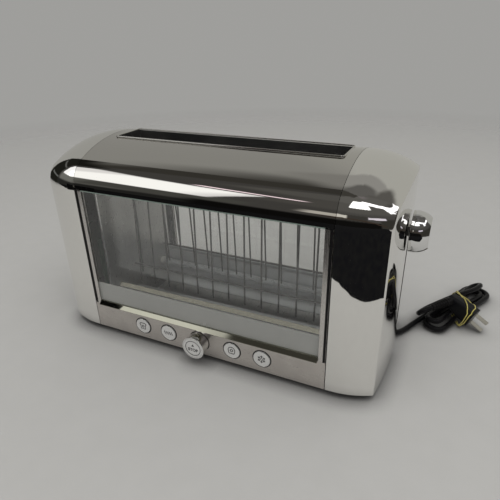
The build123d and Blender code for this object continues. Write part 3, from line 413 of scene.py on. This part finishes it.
# Toasting chamber. Stainless end plates, folded reflectors of bright aluminised sheet, and four
# quartz tubes that stand in ceramic holders, each with a coil of resistance wire inside.
grey_stainless = finish(
    "grey_stainless", ((0.42, 0.415, 0.40), (0.38, 0.375, 0.365)), (0.27, 0.29), 1.0,
    stretch=(1, 1, 0.3), fineness=700, relief=0.0,
)
dress(grey_stainless, "left_end_plate", "right_end_plate")
bright_reflector = finish(
    "bright_reflector", ((0.50, 0.515, 0.525), (0.46, 0.475, 0.485)), (0.30, 0.34), 1.0,
    stretch=(0.3, 1, 1), fineness=700, relief=0.000001,
)
dress(bright_reflector, "lower_reflectors", "upper_reflectors")
frosted_quartz = finish(
    "frosted_quartz", ((0.86, 0.88, 0.88), (0.80, 0.82, 0.83)), (0.22, 0.38),
    stretch=(0.1, 1, 1), fineness=900,
)
feed(shader_of(frosted_quartz), {"Transmission Weight": 0.85, "IOR": 1.46})
dress(frosted_quartz, "heater_tubes")
resistance_wire = finish(
    "resistance_wire", ((0.20, 0.18, 0.16), (0.12, 0.105, 0.10)), (0.38, 0.55), 1.0, fineness=2000
)
coil_low, coil_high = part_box("heater_coils")
coil_inset, coil_radius, coil_wire = 0.0027, 0.0024, 0.0003
coil_start = coil_low.x + 0.0005
coil_length = coil_high.x - coil_low.x - 0.001
coil_corners = 10
coil_steps = 84 * coil_corners
coil_line = round_line("coil_windings", coil_wire, resistance_wire, roundness=1, capped=True)
for y in (coil_low.y + coil_inset, coil_high.y - coil_inset):
    for z in (coil_low.z + coil_inset, coil_high.z - coil_inset):
        spots = []
        for number in range(coil_steps + 1):
            a = 2 * math.pi * number / coil_corners
            spots.append((
                coil_start + coil_length * number / coil_steps,
                y + coil_radius * math.cos(a), z + coil_radius * math.sin(a),
            ))
        lay_run(coil_line, spots)
coil_windings = put_in_scene("coil_windings", coil_line)
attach(coil_windings, "toaster")
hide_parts("heater_coils")
white_ceramic = finish(
    "white_ceramic", ((0.34, 0.33, 0.30), (0.28, 0.27, 0.25)), (0.35, 0.55), fineness=700
)
dress(white_ceramic, "heater_holders")

# Guide racks and bread carriage. Bright-plated steel wire, welded at each crossing; the carriage
# rides on two rods at its ends, and the racks hang from the top and lean in as it goes down.
plated_wire = finish(
    "plated_wire", ((0.080, 0.078, 0.075), (0.050, 0.048, 0.046)), (0.30, 0.42), 1.0, fineness=1100
)
dress(plated_wire, "front_guide_rack", "rear_guide_rack", "bread_carriage", "guide_rods")
spring_steel = finish(
    "spring_steel", ((0.40, 0.39, 0.37), (0.30, 0.29, 0.28)), (0.25, 0.4), 1.0, fineness=1200
)
dress(spring_steel, "lift_spring")


# Window panes. Toughened float glass, the outer panes with the green cast of its iron; an air gap
# parts them from the inner panes, which stand in rails of bright sheet and take the heat.
def pane_glass(name, colour):
    """Clear glass that lets the lamps' light through to the chamber."""
    material = finish(name, (colour, colour), (0.0, 0.012), fineness=60, relief=0.0)
    tree, shader = material.node_tree, shader_of(material)
    feed(shader, {"Transmission Weight": 1.0, "IOR": 1.5})
    tree.links.remove(shader.inputs["Normal"].links[0])
    rays = add_node(tree, "ShaderNodeLightPath", {}).outputs
    through = calculated(tree, "MAXIMUM", rays["Is Shadow Ray"], rays["Is Diffuse Ray"])
    clear = add_node(tree, "ShaderNodeBsdfTransparent", {"Color": (*colour, 1)})
    blend = add_node(
        tree, "ShaderNodeMixShader", {0: through, 1: shader.outputs[0], 2: clear.outputs[0]}
    )
    feed(tree.nodes["Material Output"], {"Surface": blend.outputs[0]})
    return material


green_glass = pane_glass("green_glass", (0.972, 0.977, 0.972))
dress(green_glass, "front_outer_glass", "rear_outer_glass")
clear_glass = pane_glass("clear_glass", (0.99, 0.99, 0.985))
dress(clear_glass, "inner_glasses")
dress(bright_reflector, "inner_glass_rails")


# Sills and upper edge of the front window. The sill is a polished bar with a bevel that the pane
# stands behind, and a creamy strip fronts the inner rail the same way; above, the ground edge of
# the pane shows green as a thin line below the crown.
def prism(name, section, x_range, material):
    """A bar along x; its section, as (y, z) in metres, goes up at the back and down in front."""
    count = len(section)
    mesh = bpy.data.meshes.new(name)
    mesh.from_pydata(
        [(x, y, z) for x in x_range for y, z in section],
        [],
        [tuple(reversed(range(count))), tuple(range(count, 2 * count))]
        + [(i, (i + 1) % count, count + (i + 1) % count, count + i) for i in range(count)],
    )
    mesh.materials.append(material)
    piece = put_in_scene(name, mesh)
    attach(piece, "toaster")
    return piece


def flat_bar(back_face, front_face, low, high):
    """The section of a flat bar."""
    return [(back_face, low), (back_face, high), (front_face, high), (front_face, low)]


bevel_lip = 0.0004
sill_low, sill_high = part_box("front_glass_rail")
sill_nose = sill_low.y - 0.0036
sill_steel = finish(
    "sill_steel", ((0.34, 0.335, 0.275), (0.31, 0.305, 0.25)), (0.03, 0.06), 1.0,
    stretch=(0.05, 1, 1), fineness=900, relief=0.000001,
)
glass_sill = prism(
    "glass_sill",
    [
        (sill_high.y, sill_low.z), (sill_high.y, sill_high.z), (sill_low.y, sill_high.z),
        (sill_nose, sill_low.z + bevel_lip), (sill_nose, sill_low.z),
    ],
    (sill_low.x, sill_high.x),
    sill_steel,
)
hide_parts("front_glass_rail")
rail_low, rail_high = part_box("inner_glass_rails")
strip_foot, strip_top, strip_bite, strip_inset = 0.0598, 0.0640, 0.0002, 0.018
strip_nose = rail_low.y - 0.0034
cream_steel = finish(
    "cream_steel", ((0.52, 0.50, 0.41), (0.49, 0.47, 0.39)), (0.12, 0.2), 1.0,
    stretch=(0.05, 1, 1), fineness=900, relief=0.000001,
)
inner_sill = prism(
    "inner_sill",
    [
        (rail_low.y + strip_bite, strip_foot), (rail_low.y + strip_bite, strip_top),
        (rail_low.y - strip_bite, strip_top), (strip_nose, strip_foot + bevel_lip),
        (strip_nose, strip_foot),
    ],
    (rail_low.x + strip_inset, rail_high.x),
    cream_steel,
)
pane_edge_green = finish(
    "pane_edge_green", ((0.16, 0.20, 0.175), (0.13, 0.165, 0.145)), (0.2, 0.35), fineness=700
)
pane_low, pane_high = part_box("front_outer_glass")
edge_gap, edge_nose, edge_lap, edge_rise = 0.0001, 0.0009, 0.0004, 0.0007
pane_edge = prism(
    "pane_edge",
    flat_bar(
        pane_low.y - edge_gap, pane_low.y - edge_nose,
        pane_high.z - edge_lap, pane_high.z + edge_rise,
    ),
    (pane_low.x, pane_high.x),
    pane_edge_green,
)

# Painted band along the foot of the front pane. Grey-green enamel fired on the inside of the
# glass, which hides the reflector's edge and the wiring behind the controls.
grey_enamel = finish(
    "grey_enamel", ((0.232, 0.229, 0.217), (0.214, 0.211, 0.200)), (0.35, 0.5), fineness=500
)
band_gap, band_back, band_foot = 0.00005, 0.00025, 0.0005
band_top, band_margin = 0.0695, 0.0004
glass_band = prism(
    "glass_band",
    flat_bar(pane_high.y + band_back, pane_high.y + band_gap, pane_low.z + band_foot, band_top),
    (pane_low.x + band_margin, pane_high.x - band_margin),
    grey_enamel,
)


# Crown and end covers. Deep-drawn stainless sheet, mirror polished by hand, with the faint haze
# and hairlines of use; the crown is one sheet, and the covers meet it along a fine dark seam.
def polish_effect():
    """Hairlines, finger haze and the slight unevenness of sheet that was polished by hand."""
    group = new_effect(
        "hand_polish", (("Place", "NodeSocketVector"),), ("Hairlines", "Haze", "Waves")
    )
    space = add_node(group, "NodeGroupInput", {}).outputs["Place"]
    lines = []
    for tilt, stretch in ((0.5, (16, 900, 700)), (-0.8, (700, 30, 900))):
        drawn = add_node(
            group, "ShaderNodeMapping",
            {"Vector": space, "Rotation": (0.2, tilt, tilt), "Scale": stretch},
        )
        scratches = add_node(
            group, "ShaderNodeTexNoise", {"Vector": drawn.outputs[0], "Scale": 1.0, "Detail": 2}
        )
        thin = add_node(
            group, "ShaderNodeMapRange",
            {"Value": scratches.outputs["Fac"], "From Min": 0.70, "From Max": 0.80},
        )
        lines.append(thin.outputs[0])
    haze = add_node(group, "ShaderNodeTexNoise", {"Vector": space, "Scale": 22, "Detail": 6})
    patches = add_node(
        group, "ShaderNodeMapRange",
        {"Value": haze.outputs["Fac"], "From Min": 0.45, "From Max": 0.75},
    )
    waves = add_node(group, "ShaderNodeTexNoise", {"Vector": space, "Scale": 9, "Detail": 1})
    add_node(
        group, "NodeGroupOutput",
        {
            "Hairlines": calculated(group, "MAXIMUM", *lines), "Haze": patches.outputs[0],
            "Waves": waves.outputs["Fac"],
        },
    )
    return group


hand_polish = polish_effect()


def mirror_steel(name, colour, worn, waves):
    """Polished metal: worn is how far marks dull it, and waves its unevenness in metres."""
    material, tree, shader = new_material(name)
    space = add_node(tree, "ShaderNodeTexCoord", {})
    marks = add_node(
        tree, "ShaderNodeGroup", {"Place": space.outputs["Object"]}, node_tree=hand_polish
    ).outputs
    fresh_roughness = 0.018
    hairs = calculated(tree, "MULTIPLY_ADD", marks["Hairlines"], worn, fresh_roughness)
    dull = calculated(tree, "MULTIPLY_ADD", marks["Haze"], worn * 0.5, hairs)
    height = add_node(tree, "ShaderNodeBump", {"Height": marks["Waves"], "Distance": waves})
    feed(
        shader,
        {
            "Base Color": (*colour, 1), "Metallic": 1.0, "Roughness": dull,
            "Normal": height.outputs[0],
        },
    )
    return material


polished_steel = mirror_steel("polished_steel", (0.85, 0.84, 0.81), 0.06, 0.0002)
dress(polished_steel, "left_end_cover", "right_end_cover", "rear_glass_rail")
# The crown's copy of the polished steel is darker than the covers': painted shade of what the crown
# mirrors.
painted_shade_crown_steel = mirror_steel("painted_shade_crown_steel", (0.62, 0.605, 0.575), 0.08, 0.0002)
dress(painted_shade_crown_steel, "top_shell")

# Window trims and the painted shade beside them. The trims are satin steel, folded to stand
# beside each window and brushed upwards; a strip of black rubber finish in the seam between each
# of them and its end cover is painted shade of the gap there.
trim_steel = finish(
    "trim_steel", ((0.68, 0.655, 0.625), (0.63, 0.605, 0.58)), (0.20, 0.32), 1.0,
    stretch=(1, 1, 0.035), fineness=1500, relief=0.00003,
)
dress(trim_steel, "side_trims")
trims_low, trims_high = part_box("side_trims")
# Painted shade of the gaps: a thin black strip stands in each seam beside a trim.
gap_shade_proud, gap_shade_near, gap_shade_far = 0.0002, 0.0002, 0.0027
for end, edge, inwards in (("left", trims_low.x, 1), ("right", trims_high.x, -1)):
    for window, face in (("front", trims_low.y), ("rear", trims_high.y)):
        painted_gap_shade = prism(
            f"{window}_{end}_painted_gap_shade",
            flat_bar(face + gap_shade_proud, face - gap_shade_proud, trims_low.z, trims_high.z),
            sorted((edge + inwards * gap_shade_near, edge + inwards * gap_shade_far)),
            black_rubber,
        )


# Bread slot. The crown's sheet is rolled over to a thin bead all round it, and a lining of sheet
# with a black coating hangs below.
def arc(x, y, radius, start, end, steps):
    """Points round part of a circle, from angles in degrees."""
    return [
        (
            x + radius * math.cos(math.radians(start + (end - start) * i / steps)),
            y + radius * math.sin(math.radians(start + (end - start) * i / steps)),
        )
        for i in range(steps + 1)
    ]


body_x, body_y = -0.0097, 0.007  # middle of the body alone; the frame's takes in the knobs too
slot_half_length, slot_half_width, slot_corner = 0.1307, 0.0197, 0.003
bead_height = packed_high.z - 0.0005
slot_line = round_line("slot_bead", 0.0008, painted_shade_crown_steel, roundness=3)
lay_run(
    slot_line,
    [
        (x, y, bead_height)
        for side_x, side_y, start in ((1, 1, 0), (-1, 1, 90), (-1, -1, 180), (1, -1, 270))
        for x, y in arc(
            body_x + side_x * slot_half_length, body_y + side_y * slot_half_width, slot_corner,
            start, start + 90, 6,
        )
    ],
    closed=True,
)
slot_bead = put_in_scene("slot_bead", slot_line)
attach(slot_bead, "toaster")
black_coating = finish(
    "black_coating", ((0.010, 0.010, 0.010), (0.020, 0.019, 0.018)), (0.35, 0.55), fineness=600
)
dress(black_coating, "slot_liner")

# Lever knob and browning knob. Chrome-plated metal turnings with a rounded rim; each is pressed
# on to its shaft or arm, and the browning knob carries a satin face.
bright_chrome = mirror_steel("bright_chrome", (0.80, 0.80, 0.79), 0.04, 0.00003)
dress(bright_chrome, "lever_knob", "browning_knob")
dress(zinc_plate, "knob_shaft")

# Control panels. Stainless sheet brushed along its length, with round holes for the buttons and
# the knob; the rear panel is the same sheet with the opening for the crumb tray.
brushed_steel = finish(
    "brushed_steel", ((0.63, 0.595, 0.56), (0.585, 0.55, 0.52)), (0.25, 0.40), 1.0,
    stretch=(0.035, 1, 1), fineness=1500, relief=0.00004,
)
dress(brushed_steel, "front_panel", "rear_panel", "tray_front")

# Buttons. Pale satin discs of metallised plastic with a bright rim, each in a black ring round
# its hole that is painted shade of the gap, and with a small dark picture printed on it: a slice,
# warm air, a bun and a snowflake.
satin_disc = finish(
    "satin_disc", ((0.66, 0.655, 0.64), (0.60, 0.595, 0.58)), (0.26, 0.36), 0.55,
    fineness=1500, relief=0.00001,
)
dress(satin_disc, "slice_button", "reheat_button", "bagel_button", "frozen_button", "knob_face")
dress(black_moulding, "button_switches", "control_housing", "knob_encoder")


def disc_face(node):
    """The front of a round piece, the middle of its face, and its radius."""
    low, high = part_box(node)
    return low.y, ((low.x + high.x) / 2, (low.z + high.z) / 2), (high.x - low.x) / 2


def ring(name, face, centre, radius, thickness, material, body):
    """A thin round ring in a plane that faces the front."""
    line = round_line(name, thickness / 2, material)
    lay_run(line, [(x, face, z) for x, z in arc(*centre, radius, 0, 360, 48)[:-1]], closed=True)
    piece = put_in_scene(name, line)
    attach(piece, body)


panel_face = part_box("front_panel")[0].y
hole_radius, gap_shade_width = 0.01045, 0.001
rim_sink, rim_inset, rim_width = 0.0003, 0.0004, 0.0009
for key in ("slice", "reheat", "bagel", "frozen"):
    face, middle, radius = disc_face(f"{key}_button")
    # Painted shade: a black ring on the panel round each hole stands for the dark gap.
    ring(
        f"{key}_button_gap_shade", panel_face, middle, hole_radius, gap_shade_width, black_moulding,
        "toaster",
    )
    ring(
        f"{key}_button_rim", face + rim_sink, middle, radius - rim_inset, rim_width,
        bright_chrome, f"{key}_push",
    )
dark_print = finish(
    "dark_print", ((0.010, 0.010, 0.011), (0.018, 0.018, 0.018)), (0.45, 0.6), fineness=1500
)
picture_scale = 1.2 / 1000  # the strokes' own units to metres


def printed(name, node, strokes, width, body, closed=()):
    """Fine printed strokes on the middle of a face; closed has the numbers of closed strokes."""
    face, middle, _ = disc_face(node)
    line = round_line(name, width / 1000, dark_print, capped=True)
    for number, stroke in enumerate(strokes):
        spots = [
            (middle[0] + picture_scale * x, face, middle[1] + picture_scale * z) for x, z in stroke
        ]
        lay_run(line, spots, closed=number in closed)
    piece = put_in_scene(name, line)
    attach(piece, body)


slice_outline = (
    [(-2.6, -3.2), (-2.6, 0.6)] + arc(-2.0, 1.9, 1.5, 230, 90, 8) + arc(2.0, 1.9, 1.5, 90, -50, 8)
    + [(2.6, 0.6), (2.6, -3.2)]
)
warm_waves = [
    [(x + 0.55 * math.sin(2 * math.pi * i / 10), -1.7 + 3.4 * i / 10) for i in range(11)]
    for x in (-3.9, -1.95, 0, 1.95, 3.9)
]
bun = arc(0, 0.6, 3.4, 0, 180, 16) + [(-2.9, -2.4), (-2.2, -3.0), (2.2, -3.0), (2.9, -2.4)]
flake = []
for spoke in range(6):
    a = math.radians(60 * spoke + 30)
    flake.append([(0.9 * math.cos(a), 0.9 * math.sin(a)), (4.0 * math.cos(a), 4.0 * math.sin(a))])
    root = (2.3 * math.cos(a), 2.3 * math.sin(a))
    for side in (-1, 1):
        b = a + side * math.radians(52)
        flake.append([root, (root[0] + 1.3 * math.cos(b), root[1] + 1.3 * math.sin(b))])
for picture, key, strokes, width, closed in (
    ("slice_picture", "slice", [slice_outline, arc(0, -0.3, 1.2, 0, 330, 12)], 0.4, (0,)),
    ("warm_picture", "reheat", warm_waves, 0.38, ()),
    ("bun_picture", "bagel", [bun, arc(0, 0.3, 1.3, 0, 360, 14)[:-1]], 0.4, (0, 1)),
    ("snow_picture", "frozen", flake, 0.4, ()),
):
    printed(picture, f"{key}_button", strokes, width, f"{key}_push", closed)

# Legends of the knob's face: a ring, a pointer to the chosen browning, and the word that ends
# toasting when the knob is pressed. All are printed dark on the satin disc.
face, middle, radius = disc_face("knob_face")
circle = arc(0, 0, radius * 1000 * 0.68, 0, 360, 40)[:-1]
printed("knob_circle", "knob_face", [circle], 0.34, "dial", closed=(0,))
pointer = bpy.data.meshes.new("knob_pointer")
pointer.from_pydata(
    [
        (middle[0] + x / 1000, face - depth, middle[1] + z / 1000)
        for depth in (0.00008, -0.0001)
        for x, z in ((-1.7, 2.4), (1.7, 2.4), (0, 5.6))
    ],
    [],
    [(0, 1, 2), (5, 4, 3), (0, 3, 4, 1), (1, 4, 5, 2), (2, 5, 3, 0)],
)
pointer.materials.append(dark_print)
knob_pointer = put_in_scene("knob_pointer", pointer)
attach(knob_pointer, "dial")
stop_word = bpy.data.curves.new("knob_legend", "FONT")
stop_word.body = "STOP"
stop_word.size = 0.0052
stop_word.align_x = "CENTER"
stop_word.align_y = "CENTER"
stop_word.extrude = 0.00009
stop_word.offset = 0.00018
stop_word.materials.append(dark_print)
knob_legend = put_in_scene("knob_legend", stop_word)
knob_legend.matrix_world = (
    Matrix.Translation((middle[0], face, middle[1] - 0.0022)) @ Matrix.Rotation(math.pi / 2, 4, "X")
)
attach(knob_legend, "dial")

# Crumb tray. Thin bright sheet, folded up at its edges; it slides out at the back by its front
# strip, which is brushed like the panel round it.
tray_sheet = finish(
    "tray_sheet", ((0.58, 0.58, 0.57), (0.50, 0.50, 0.49)), (0.24, 0.38), 1.0,
    stretch=(1, 0.08, 1), fineness=1100, relief=0.00002,
)
dress(tray_sheet, "crumb_tray")

# Controls inside the base and the right-hand end: glass-fibre boards with their parts, the relay,
# the terminal block and the magnet that holds the carriage down.
board_laminate = finish(
    "board_laminate", ((0.016, 0.090, 0.040), (0.022, 0.115, 0.052)), (0.32, 0.5), fineness=450
)
dress(board_laminate, "control_board", "power_board")
dress(black_moulding, "power_relay")
pale_moulding = finish(
    "pale_moulding", ((0.62, 0.60, 0.54), (0.56, 0.54, 0.48)), (0.35, 0.5), fineness=1200
)
dress(pale_moulding, "terminal_block")
magnet_iron = finish(
    "magnet_iron", ((0.34, 0.33, 0.32), (0.26, 0.25, 0.25)), (0.35, 0.5), 1.0, fineness=900
)
dress(magnet_iron, "hold_magnet")

# Studio. A pale cloth floor that runs out into a pale background, with painted shadow that
# darkens it close under the toaster and the cord; a broad lamp above and another in front, and a
# room that only the polished metal shows, dark in front and with bright windows.
spokes = 48
courses = (0.3, 0.6, 0.9, 1.2, 1.5, 1.9)
floor_points = [(0, 0, 0)] + [
    (r * math.cos(2 * math.pi * i / spokes), r * math.sin(2 * math.pi * i / spokes), 0)
    for r in courses
    for i in range(spokes)
]
floor_faces = [(0, 1 + i, 1 + (i + 1) % spokes) for i in range(spokes)]
for course in range(len(courses) - 1):
    near, far = 1 + course * spokes, 1 + (course + 1) * spokes
    floor_faces += [
        (near + i, far + i, far + (i + 1) % spokes, near + (i + 1) % spokes) for i in range(spokes)
    ]
floor_mesh = bpy.data.meshes.new("studio_floor")
floor_mesh.from_pydata(floor_points, [], floor_faces)
cloth = finish(
    "pale_cloth", ((0.404, 0.398, 0.384), (0.396, 0.390, 0.376)), (0.85, 0.95), fineness=1100,
    relief=0.0001,
)
floor_mesh.materials.append(cloth)
weave = cloth.node_tree
# Painted shadow: ambient occlusion darkens the cloth's colour close under the toaster and the cord.
painted_shadow_ao = add_node(weave, "ShaderNodeAmbientOcclusion", {"Distance": 0.022}, samples=8)
shaded = add_node(
    weave, "ShaderNodeMix",
    {
        0: calculated(weave, "POWER", painted_shadow_ao.outputs["AO"], 1.3), 6: (0.02, 0.0195, 0.019, 1),
        7: weave.nodes["tones"].outputs[2],
    },
    data_type="RGBA",
)
feed(shader_of(cloth), {"Base Color": shaded.outputs[2]})
space = add_node(weave, "ShaderNodeTexCoord", {})
distance = add_node(
    weave, "ShaderNodeVectorMath", {0: space.outputs["Object"]}, operation="LENGTH"
)
edge = add_node(
    weave, "ShaderNodeMapRange",
    {"Value": distance.outputs["Value"], "From Min": 0.9, "From Max": 1.8},
    interpolation_type="SMOOTHSTEP",
)
gone = add_node(weave, "ShaderNodeBsdfTransparent", {})
fade = add_node(
    weave, "ShaderNodeMixShader",
    {0: edge.outputs[0], 1: shader_of(cloth).outputs[0], 2: gone.outputs[0]},
)
feed(weave.nodes["Material Output"], {"Surface": fade.outputs[0]})
studio_floor = put_in_scene("studio_floor", floor_mesh)
black_flag = finish("black_flag", ((0.006, 0.006, 0.007), (0.009, 0.009, 0.009)), (0.9, 1.0))
feed(shader_of(black_flag), {"Specular IOR Level": 0.0})


def dark_card(name, corners):
    """A matt black card that only mirrors see."""
    mesh = bpy.data.meshes.new(name)
    mesh.from_pydata(corners, [], [tuple(range(len(corners)))])
    mesh.materials.append(black_flag)
    card = put_in_scene(name, mesh)
    card.visible_camera = False
    card.visible_diffuse = False
    card.visible_shadow = False
    card.visible_transmission = False


dark_card(
    "dark_floor_card",
    [
        (x / 1000 + body_x, y / 1000 + body_y, 0.0005)
        for x, y in (
            (-130, -500), (-60, -430), (20, -352), (100, -322), (156, -304), (197, -284),
            (238, -265), (290, -241), (331, -219), (350, -208), (388, -239), (433, -279),
            (620, -420), (1400, -1300), (1400, -1900), (-1500, -1900), (-1500, -500),
        )
    ],
)
dark_card(
    "dark_window_frame",
    [
        (-0.239, -0.202, 0.144), (-0.326, -0.202, 0.144), (-0.326, -0.202, 0.187),
        (-0.239, -0.202, 0.179),
    ],
)


def lamp(name, place, target, size, power):
    """A soft white rectangular lamp that points at a place on the toaster."""
    light = bpy.data.lights.new(name, "AREA")
    light.shape = "RECTANGLE"
    light.size, light.size_y = size
    light.energy = power
    way = Vector(target) - Vector(place)
    holder = put_in_scene(name, light)
    holder.matrix_world = (
        Matrix.Translation(place) @ way.to_track_quat("-Z", "Y").to_matrix().to_4x4()
    )
    holder.visible_glossy = False


lamp("broad_lamp", (0.5, -0.5, 2.0), (0, 0, 0.1), (2.2, 2.2), 25)
lamp("front_lamp", (0.5, -1.9, 0.9), (0, 0, 0.05), (1.6, 1.0), 9)
world = bpy.data.worlds.new("studio")
world.use_nodes = True
bpy.context.scene.world = world
room = world.node_tree
direction = add_node(room, "ShaderNodeTexCoord", {})
parts = add_node(room, "ShaderNodeSeparateXYZ", {0: direction.outputs["Generated"]}).outputs


def angle_of(operation, *sides):
    """An angle in degrees from parts of the direction."""
    return calculated(room, "DEGREES", calculated(room, operation, *sides))


around = angle_of("ARCTAN2", parts["X"], calculated(room, "MULTIPLY", parts["Y"], -1))
above = angle_of("ARCSINE", parts["Z"])


def between(angle, low, high, soft):
    """A mask that is one between two angles and fades outside them."""
    masks = [
        add_node(
            room, "ShaderNodeMapRange", {"Value": angle, "From Min": start, "From Max": end},
            interpolation_type="SMOOTHSTEP",
        ).outputs[0]
        for start, end in ((low - soft, low), (high + soft, high))
    ]
    return calculated(room, "MULTIPLY", *masks)


def mixed(share, under, over):
    """One colour laid over another by a share."""
    return add_node(
        room, "ShaderNodeMix", {0: share, 6: under, 7: (*over, 1)}, data_type="RGBA"
    ).outputs[2]


def patch(under, colour, turn_range, rise_range, soft=(3.0, 3.0), lean=0.0, bow=0.0):
    """Lays a patch of the room, given by its angles round and above the toaster, on the rest."""
    slope = calculated(room, "MULTIPLY_ADD", around, bow, lean)
    height = calculated(room, "MULTIPLY_ADD", around, slope, above)
    across = between(around, *turn_range, soft[0])
    upwards = between(height, *rise_range, soft[1])
    return mixed(calculated(room, "MULTIPLY", across, upwards), under, colour)


seen = (0.405, 0.40, 0.37, 1)
for part in (
    ((0.336, 0.332, 0.312), (-152, -104), (-90, 90), (14, 3)),
    ((0.085, 0.081, 0.071), (90, 200), (29, 200), (8, 14), -0.26),
    ((0.049, 0.046, 0.040), (-190, -10), (16, 200), (6, 14), 0.375),
    ((0.121, 0.116, 0.109), (-20, 185), (74, 100), (10, 7)),
    ((0.162, 0.147, 0.147), (45, 108), (74, 100), (12, 6)),
    ((0.280, 0.274, 0.257), (142, 210), (56, 68), (12, 4)),
    ((0.280, 0.274, 0.257), (-210, -148), (57, 68), (12, 4)),
    ((0.115, 0.111, 0.104), (116, 210), (68, 100), (10, 5)),
    ((0.115, 0.111, 0.104), (-210, -138), (69, 100), (10, 4)),
    ((0.100, 0.096, 0.088), (106, 139), (54, 76), (9, 8)),
    ((0.069, 0.066, 0.062), (-78, 105), (-90, 74), (6, 5)),
    ((0.112, 0.108, 0.100), (-56, 112), (62, 78), (12, 7)),
    ((0.092, 0.088, 0.081), (-25, 64), (40, 56), (14, 8)),
    ((0.045, 0.042, 0.038), (-8, 18), (10, 26), (7, 5)),
    ((0.0130, 0.0130, 0.0105), (-106, -76), (-90, 46), (2, 3)),
    ((0.105, 0.105, 0.099), (-101, -77), (29, 31), (2, 1)),
    ((0.130, 0.134, 0.126), (-98, -77), (5, 7), (2, 1)),
    ((0.020, 0.020, 0.0186), (-74, -28), (-90, 2), (2, 6)),
    ((0.162, 0.162, 0.148), (-69, -42), (8, 20), (5, 6)),
    ((0.081, 0.081, 0.073), (-44, -27), (9, 20), (3, 5)),
    ((0.0055, 0.0052, 0.0049), (-30, 36), (-90, 8), (4, 6)),
    ((0.036, 0.034, 0.029), (39, 104), (-90, 20), (3, 8)),
    ((0.045, 0.032, 0.024), (-14, 42), (16.5, 18.5), (3, 1.2), 0.0, 0.009),
    ((1.500, 1.220, 1.320), (-47, -27), (46.9, 48.1), (3, 0.8)),
    ((1.094, 1.085, 1.085), (-69, -32), (21, 43), (1.5, 2.5)),
    ((1.499, 1.507, 1.490), (-56, -37), (21, 42), (5, 2.5)),
    ((0.600, 0.572, 0.518), (-17, -8), (19, 25), (3, 2)),
    ((0.769, 0.713, 0.794), (23, 45), (21.5, 25.5), (2, 1.5)),
    ((1.863, 1.863, 1.847), (-7, 31), (52, 70), (3, 3)),
    ((1.863, 1.823, 1.863), (24, 83), (64.5, 71.5), (3, 2.5), -0.126, 0.0042),
    ((1.750, 1.720, 1.750), (76, 116), (48.5, 52.5), (4, 2)),
    ((1.700, 1.680, 1.700), (66, 75), (43, 53), (4, 3)),
):
    seen = patch(seen, *part)
background = (0.345, 0.342, 0.330)
paths = add_node(room, "ShaderNodeLightPath", {}).outputs
for ray, colour in (
    ("Is Diffuse Ray", (0.62, 0.62, 0.61)), ("Is Transmission Ray", background),
    ("Is Camera Ray", background),
):
    seen = mixed(paths[ray], seen, colour)
feed(room.nodes["Background"], {"Color": seen})

bpy.context.scene.view_settings.view_transform = "Standard"
